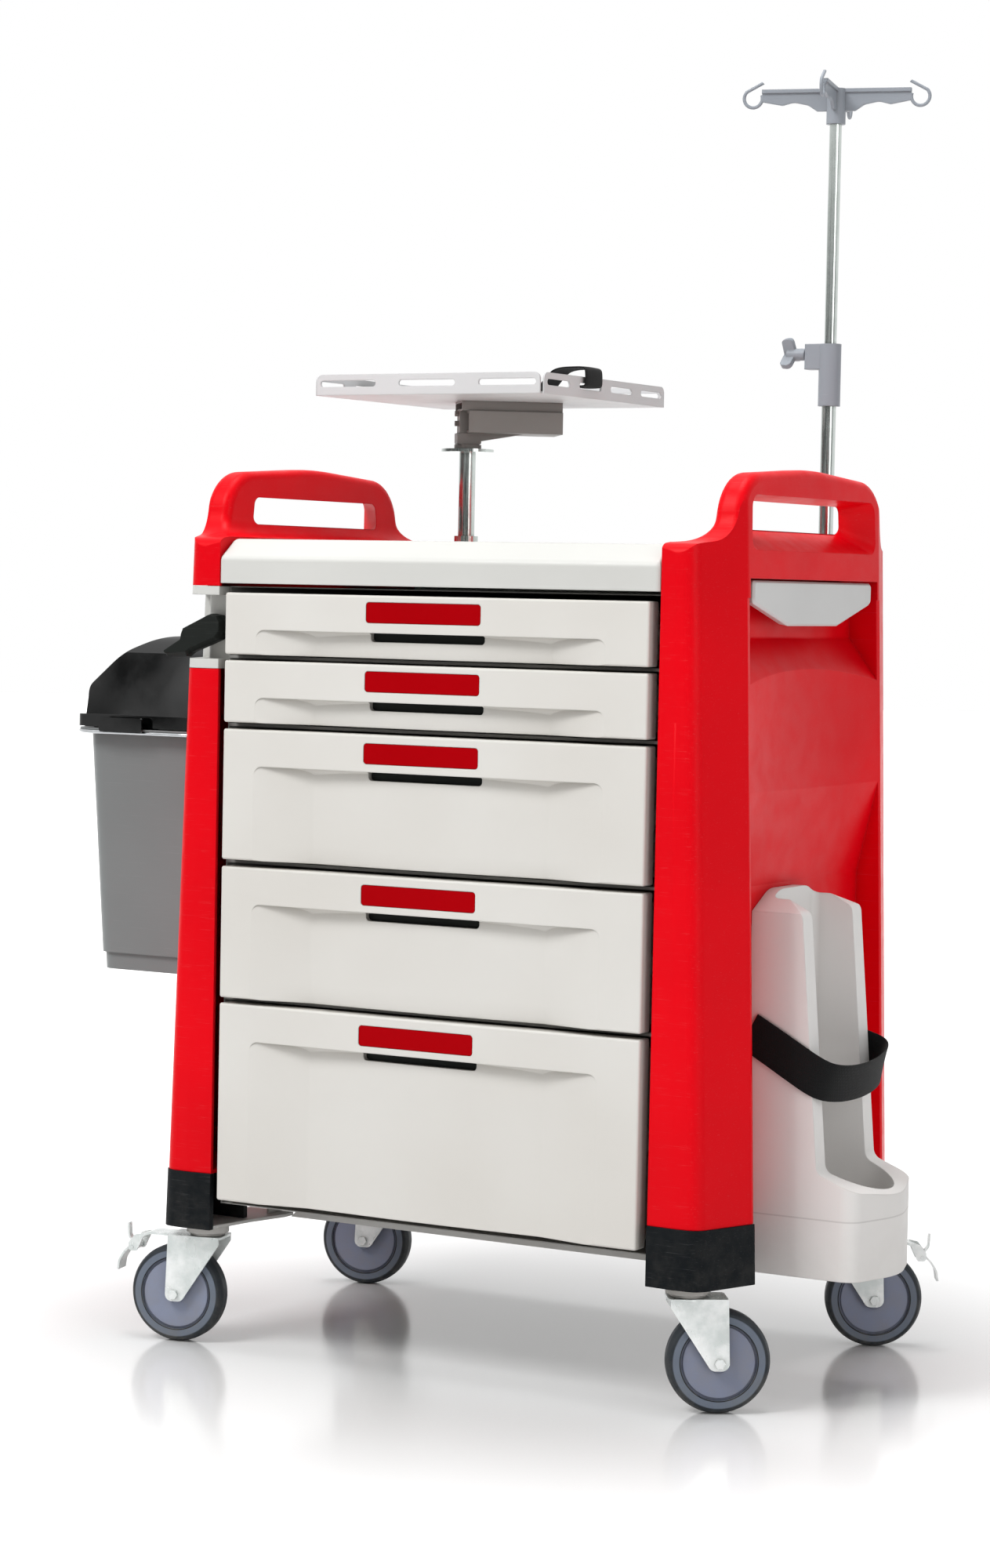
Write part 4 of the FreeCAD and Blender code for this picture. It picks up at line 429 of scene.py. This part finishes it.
# %% The metals and powder coats
zinc = plated("zinc plate", "FAFDFC", "D8DFDD", 0.24, brush=(8.0, 8.0, 4.0), brush_depth=0.01,
              dust=0.1, metal=0.35)
slide_zinc = plated("slide zinc", "BFC2C4", "AEB2B5", 0.3)
chrome = plated("chrome tube", "CDD3D0", "BFC6C2", 0.1, brush=(200.0, 200.0, 3.0), brush_depth=0.05)
chrome_wire = plated("chrome wire", "C8CACC", "BCBFC1", 0.12, brush_depth=0.05)
tray_coat = moulded("tray powder coat", "DADADB", "D2D2D3", 0.42, grain=1400.0, depth=0.7,
                    wander=0.1)
cabinet_coat = moulded("cabinet powder coat", "A9A8A5", "9F9E9B", 0.5, grain=1400.0, depth=0.8,
                       wander=0.1)
base_coat = moulded("base powder coat", "C3C2BF", "B6B4B0", 0.5, grain=1400.0, depth=0.8,
                    wander=0.1, dust=0.3)

# %% [markdown]
# ## Tyres
# A tyre shows three rings from the side: a dark tread shoulder, a paler side
# wall, and a dark groove where it meets the hub. The rings follow the distance
# from the axle, so each tyre gets the recipe with its own axle as centre. A
# Mapping node moves the axle to zero and turns the wheel to face the front. A
# sine of the same distance gives the fine moulded rings of the side wall.

# %% Tyre recipe
shoulder_start, shoulder_full = 0.0545, 0.0562
groove_radius = 0.0468
ring_phase = 2600.0  # radians for each metre, which is a ring every 2.4 mm


def tyre_rubber(name, axle, heading):
    """The axle is the wheel's centre in metres, and the heading its turn in degrees."""
    material, tree, shader, place = start_material(name)
    centred = add_node(tree, "ShaderNodeMapping", {
        "Vector": place, "Location": axle, "Rotation": (0, 0, math.radians(heading))},
        vector_type="TEXTURE").outputs[0]
    parts = split(tree, centred)
    squares = math_node(tree, "ADD", times(tree, parts["X"], parts["X"]),
                        times(tree, parts["Z"], parts["Z"]))
    radius = math_node(tree, "SQRT", squares)
    shoulder = spread(tree, radius, shoulder_start, shoulder_full)
    off_groove = math_node(tree, "ABSOLUTE", math_node(tree, "SUBTRACT", radius, groove_radius))
    groove = spread(tree, off_groove, 0.0004, 0.0010, 1.0, 0.0)
    cloud = noise(tree, place, 70.0, 4.0, 0.6)
    wall = mix_colour(tree, cloud, colour("737C8A"), colour("69727F"))
    tint = mix_colour(tree, shoulder, wall, colour("2C3136"))
    tint = mix_colour(tree, groove, tint, colour("17181B"))
    tint = lay_dust(tree, tint, place, "7F7A72", reach=0.1, amount=0.35)
    fill(tree, shader, {"Base Color": tint, "Roughness": spread(tree, cloud, 0.3, 0.7, 0.42, 0.58),
                        "Specular IOR Level": 0.2})
    skin = use_group(tree, moulded_grain, Place=place, Grain=1200.0, Depth=0.5, Wander=0.0)
    rings = times(tree, math_node(tree, "SINE", times(tree, radius, ring_phase)), 0.25)
    add_bump(tree, shader, math_node(tree, "ADD", skin["Height"], rings), 0.3, 0.0003)
    return material


# %% [markdown]
# The four castors stand at different angles, as they do when a cart has just
# been pushed into place. Each tyre's centre is the middle of its own box.

# %% Dress the tyres
headings = {"front_left": 192.7, "front_right": 34.2, "rear_left": 194.6, "rear_right": 29.6}
for corner, heading in headings.items():
    low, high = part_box("castor_tyre_" + corner)
    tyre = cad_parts["castor_tyre_" + corner]
    tyre.data.materials[0] = tyre_rubber("tyre " + corner, (low + high) / 2, heading)
print("tyres:", len(headings))

# %% [markdown]
# ## Giving the frame its finishes
# Every CAD part came with one material slot. Replacing what is in the slot is
# enough: the mesh itself stays as it was made.

# %% Assign finishes
finishes = {
    "red_moulding": red_column, "white_moulding": white_cover, "drawer_white": white_front,
    "label_red": label_red, "grip_black": grip_black, "shelf_white": shelf_white,
    "bumper": bumper_black, "base_steel": base_coat, "cabinet_steel": cabinet_coat,
    "zinc_steel": slide_zinc, "castor_zinc": zinc, "hub_plastic": hub_grey,
    "holder_grey": holder_grey, "bin_grey": bin_grey, "lid_black": lid_gloss,
    "wire_steel": chrome_wire, "chrome_tube": chrome, "pole_plastic": pole_grey,
    "arm_grey": arm_grey, "tray_white": tray_coat}
dressed = 0
for name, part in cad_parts.items():
    given_slot = part.material_slots[0].material.name.split(".")[0]
    if given_slot in finishes:
        part.data.materials[0] = finishes[given_slot]
        dressed += 1
print("parts dressed:", dressed, "of", len(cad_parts))

# %% [markdown]
# ## Webbing
# Two black straps belong to the cart: one is slung round the gas cylinder holder
# and one holds a monitor on its tray. Webbing is woven in ribs that follow the
# strap, so the pattern reads the piece's own UV map, u along the strap and v
# across it. It crosses two rows of waves and adds a slanting twill.

# %% Weave pattern
tree, given, result = open_group(
    "woven ribs",
    [("UV", "Vector", None), ("Threads along", "Float", 400.0), ("Threads across", "Float", 24.0)],
    [("Height", "Float"), ("Shade", "Float")])
uv = split(tree, given["UV"])
full_turn = 2 * math.pi
along = times(tree, given["Threads along"], full_turn, uv["X"])
across = times(tree, given["Threads across"], full_turn, uv["Y"])
wave = times(tree, math_node(tree, "SINE", along), math_node(tree, "SINE", across), 0.7)
slant = math_node(tree, "ADD", along, times(tree, across, 0.5))
twill = times(tree, math_node(tree, "SINE", slant), 0.3)
height = math_node(tree, "ADD", wave, twill)
woven_ribs = close_group(tree, result, Height=height, Shade=spread(tree, height, -1.0, 1.0))

# %% [markdown]
# The weave gives the height for the bump and a light and dark for the threads.
# The counts of threads come from the strap's own length and width, so both
# straps show the same weave. A slight sheen shows the fibres where the strap
# turns away.

# %% Webbing finish
def webbing_finish(name, length, width, pitch_along=0.0022, pitch_across=0.0021):
    material, tree, shader, place = start_material(name)
    uv = add_node(tree, "ShaderNodeTexCoord").outputs["UV"]
    ribs = use_group(tree, woven_ribs, UV=uv, Threads_along=length / pitch_along,
                     Threads_across=width / pitch_across)
    fuzz = noise(tree, place, 1500.0, 2.0)
    tint = mix_colour(tree, ribs["Shade"], colour("090A0A"), colour("151617"))
    tint = mix_colour(tree, spread(tree, fuzz, 0.6, 0.8, 0.0, 0.25), tint, colour("2A2C2E"))
    fill(tree, shader, {"Base Color": tint, "Roughness": spread(tree, fuzz, 0.3, 0.7, 0.68, 0.85),
                        "Specular IOR Level": 0.15, "Sheen Weight": 0.1, "Sheen Roughness": 0.4})
    add_bump(tree, shader, ribs["Height"], 0.6, 0.0004)
    return material


# %% [markdown]
# Both straps follow a smooth route. A NURBS curve is led by a few control
# points, and turning it into a mesh gives many points along it. They come
# unevenly, so a second helper walks the line and picks equal steps, which keeps
# the weave even, and adds up the length.

# %% Smooth routes
def smooth_line(name, points):
    """Points along a NURBS curve led by control points."""
    data = bpy.data.curves.new(name, "CURVE")
    data.dimensions = "3D"
    spline = data.splines.new("NURBS")
    spline.points.add(len(points) - 1)
    for knot, point in zip(spline.points, points):
        knot.co = (*point, 1.0)
    spline.order_u = 3
    spline.use_endpoint_u = True
    spline.resolution_u = 16
    holder = bpy.data.objects.new(name, data)
    mesh = bpy.data.meshes.new_from_object(holder)
    line = [v.co.copy() for v in mesh.vertices]
    bpy.data.objects.remove(holder)
    bpy.data.meshes.remove(mesh)
    bpy.data.curves.remove(data)
    return line


def even_steps(line, count):
    """Resample a polyline into equal steps, and give its length."""
    reach = [0.0]
    for a, b in zip(line, line[1:]):
        reach.append(reach[-1] + (b - a).length)
    made, i = [], 0
    for step in range(count + 1):
        want = reach[-1] * step / count
        while i < len(line) - 2 and reach[i + 1] < want:
            i += 1
        part = (want - reach[i]) / max(reach[i + 1] - reach[i], 1e-9)
        made.append(line[i].lerp(line[i + 1], part))
    return made, reach[-1]


print("route helpers ready")

# %% [markdown]
# A strap is a long flat grid laid along its route. Each point of the route also
# says which way the strap's width lies there, so the strap can lean and twist
# as slack webbing does. The grid comes from a primitive and its rows are moved
# onto the route, with a slight crown across. Then Solidify gives it a thickness
# and Bevel rounds its edges.

# %% Strap maker
def deselect():
    if bpy.context.object and bpy.context.object.mode != "OBJECT":
        bpy.ops.object.mode_set(mode="OBJECT")
    bpy.ops.object.select_all(action="DESELECT")


def strap(name, route, leans, width, thickness, crown=0.0006):
    """A band along the route, its middle raised by the crown. All sizes are in metres."""
    steps = max(40, 10 * len(route))
    line, length = even_steps(smooth_line(name, route), steps)
    lean_line, _ = even_steps([Vector(v) for v in leans], steps)
    deselect()
    bpy.ops.mesh.primitive_grid_add(x_subdivisions=steps, y_subdivisions=6, size=1, calc_uvs=True)
    piece = bpy.context.object
    piece.name = name
    for vertex in piece.data.vertices:
        row = round((vertex.co.x + 0.5) * steps)
        heading = (line[min(row + 1, steps)] - line[max(row - 1, 0)]).normalized()
        side = (lean_line[row] - heading * lean_line[row].dot(heading)).normalized()
        rise = crown * (1 - (2 * vertex.co.y) ** 2)
        vertex.co = line[row] + side * (vertex.co.y * width) + side.cross(heading) * rise
    thick = piece.modifiers.new("thickness", "SOLIDIFY")
    thick.thickness = thickness
    thick.offset = 0
    soft = piece.modifiers.new("soft edges", "BEVEL")
    soft.width = thickness * 0.35
    soft.segments = 2
    soft.limit_method = "ANGLE"
    for modifier in ("thickness", "soft edges"):
        bpy.ops.object.modifier_apply(modifier=modifier)
    bpy.ops.object.shade_smooth_by_angle(angle=math.radians(40))
    piece.data.materials.append(webbing_finish(name + " webbing", length, width))
    print(name, "is", round(length, 3), "m long and has", len(piece.data.polygons), "faces")
    return piece, length


# %% [markdown]
# The holder's strap leaves the column, slants down the holder's front wall,
# hangs slack across the open trough and comes back round the rear wall. Where
# it hangs, its upper edge leans outwards. Each pair in the table is a point of
# the route in millimetres and the direction of the strap's width there.

# %% Cylinder strap
sling_path = [
    ((364, -122.6, 446), (0.42, 0, 0.9)), ((392, -122.8, 431), (0.42, 0, 0.9)),
    ((424, -123.4, 413), (0.42, 0, 0.9)), ((452, -124, 398), (0.4, 0, 0.9)),
    ((466, -112, 390), (0.35, 0.05, 0.9)), ((475, -78, 386), (0.3, 0, 0.95)),
    ((480, -34, 387), (0.3, 0, 0.95)), ((478, 12, 392), (0.28, 0, 0.95)),
    ((471, 44, 399), (0.2, -0.05, 0.95)), ((457, 61, 405), (0.25, -0.05, 0.95)),
    ((430, 60, 413), (0.25, 0, 0.95)), ((396, 56.5, 423), (0.25, 0, 0.95)),
    ((365, 54.6, 431), (0.25, 0, 0.95))]
sling_route = [Vector(point) / 1000 for point, _ in sling_path]
sling_leans = [lean for _, lean in sling_path]
sling, sling_length = strap("cylinder_sling", sling_route, sling_leans, width=0.048,
                            thickness=0.0018)
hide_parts("cylinder_strap")
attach(sling, "cart")

# %% [markdown]
# The tray's strap comes out through a slot of the right flange, arches high
# over the flange, lies across the tray and leaves by the slot on the far side.

# %% Tray strap
low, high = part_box("tray_strap")
strap_y = (low.y + high.y) / 2
tray_low, tray_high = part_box("monitor_tray")
middle = (tray_low.x + tray_high.x) / 2
half = (tray_high.x - tray_low.x) / 2
slot_z = tray_low.z + 0.015
bed_z = tray_low.z + 0.004
crest_z = tray_low.z + 0.039
up_through_slot = [(half - 0.014, slot_z), (half + 0.002, slot_z), (half + 0.0045, slot_z + 0.002)]
over_flange = [(half + 0.0045, crest_z - 0.008), (half + 0.003, crest_z),
               (half - 0.006, crest_z + 0.001), (half - 0.040, crest_z),
               (half - 0.052, crest_z - 0.010)]
along_bed = [(half - 0.070, bed_z + 0.004), (half - 0.082, bed_z), (half - 0.130, bed_z),
             (0.0, bed_z), (0.060 - half, bed_z), (0.044 - half, bed_z)]
out_through_slot = [(0.020 - half, slot_z - 0.003), (0.010 - half, slot_z), (-half - 0.003, slot_z)]
tie_route = [Vector((middle + x, strap_y, z))
             for x, z in up_through_slot + over_flange + along_bed + out_through_slot]
tie, tie_length = strap("tray_tie", tie_route, [(0, 1, 0)] * len(tie_route), width=0.046,
                        thickness=0.0016)
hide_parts("tray_strap")
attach(tie, "monitor_unit")

# %% [markdown]
# ## Studio
# The floor is a plain white disc with a soft polish. Near the cart it is lit
# almost only by the lamps, so it keeps a clear shadow. Farther away it glows,
# in two steps that add up to white at the horizon, so it melts into the
# background. The camera sees the glow all round, reflections see it mostly
# behind the cart, and diffuse rays never see it, so it puts no light on the
# cart. The Light Path node tells these kinds of ray apart.

# %% Floor
def ray_kinds(tree):
    """The Light Path outputs, and a mask for reflected and transmitted rays."""
    path = add_node(tree, "ShaderNodeLightPath").outputs
    return path, math_node(tree, "ADD", path["Is Glossy Ray"], path["Is Transmission Ray"])


deselect()
bpy.ops.mesh.primitive_circle_add(vertices=64, radius=26, fill_type="NGON")
floor = bpy.context.object
floor.name = "studio_floor"
material, tree, shader, place = start_material("studio floor")
speckle = spread(tree, noise(tree, place, 300.0, 2.0), 0.3, 0.7, 0.13, 0.18)
distance = add_node(tree, "ShaderNodeVectorMath", {0: place}, operation="LENGTH").outputs["Value"]
near_glow = spread(tree, distance, 0.4, 1.3, 0.0, 0.6)
far_glow = spread(tree, distance, 3.0, 8.0, 0.0, 0.4)
glow = math_node(tree, "ADD", near_glow, far_glow)
behind = spread(tree, split(tree, place)["Y"], -1.5, 1.5, 0.2, 1.0)
path, mirrored = ray_kinds(tree)
seen = math_node(tree, "ADD", path["Is Camera Ray"], times(tree, mirrored, behind), clamp=True)
fill(tree, shader, {
    "Base Color": (0.76, 0.76, 0.76, 1), "Roughness": speckle, "Specular IOR Level": 0.5,
    "Emission Color": (1, 1, 1, 1), "Emission Strength": times(tree, seen, glow)})
floor.data.materials.append(material)
print("floor:", rounded(floor.dimensions), "m")

# %% [markdown]
# The world is white behind the cart. Reflections need something darker to show
# shape, so glossy rays that leave towards the front meet a dim ground with an
# uneven skyline and a bright sky above it. In a world shader the Generated
# coordinate is simply the ray's direction.

# %% World
world = bpy.data.worlds.new("studio")
world.use_nodes = True
bpy.context.scene.world = world
tree = world.node_tree
tree.nodes.clear()
direction = add_node(tree, "ShaderNodeTexCoord").outputs["Generated"]
axes = split(tree, direction)
cloud = times(tree, noise(tree, direction, 2.5, 1.0), 0.4)
behind = spread(tree, math_node(tree, "ADD", axes["Y"], cloud), -0.2, 0.7, 0.05, 1.0)
treetops = times(tree, noise(tree, direction, 30.0, 4.0, 0.6), 0.2)
sky = spread(tree, math_node(tree, "SUBTRACT", axes["Z"], treetops), -0.03, 0.03, 0.05, 1.0)
room = math_node(tree, "MAXIMUM", behind, sky)
path, mirrored = ray_kinds(tree)
not_glossy = math_node(tree, "SUBTRACT", 1.0, path["Is Glossy Ray"])
bright = math_node(tree, "MAXIMUM", room, not_glossy)
seen = math_node(tree, "ADD", path["Is Camera Ray"], mirrored, clamp=True)
strength = times(tree, bright, spread(tree, seen, 0.0, 1.0, 0.33, 1.0))
back = add_node(tree, "ShaderNodeBackground", {"Color": (1, 1, 1, 1), "Strength": strength})
add_node(tree, "ShaderNodeOutputWorld", {"Surface": back.outputs[0]})
print("world:", world.name, "with", len(tree.nodes), "nodes")

# %% [markdown]
# Three soft lamps do the rest. The main one is large and stands high at the
# front left, so the drawer fronts are bright and the right flank falls off. A
# weak one from the right keeps the flank readable, and a very large one straight
# above lights the top faces and spreads a soft shadow under the cart. Lower
# specular factors keep their highlights from washing out the red.

# %% Lamps
def soft_lamp(name, place, target, size, power, gleam):
    data = bpy.data.lights.new(name, "AREA")
    data.shape = "RECTANGLE"
    data.size, data.size_y = size
    data.energy = power
    data.specular_factor = gleam
    lamp = bpy.data.objects.new(name, data)
    lamp.location = place
    lamp.rotation_euler = (Vector(target) - Vector(place)).to_track_quat("-Z", "Y").to_euler()
    bpy.context.scene.collection.objects.link(lamp)


soft_lamp("main", (-2.0, -4.2, 5.4), (0, 0, 0.6), (2.4, 2.4), 266, 0.2)
soft_lamp("fill", (3.6, -1.6, 1.6), (0.2, 0, 0.6), (1.6, 2.4), 27, 0.3)
soft_lamp("overhead", (-0.4, 0.3, 8.0), (0, 0, 0), (4.0, 4.0), 350, 0.8)
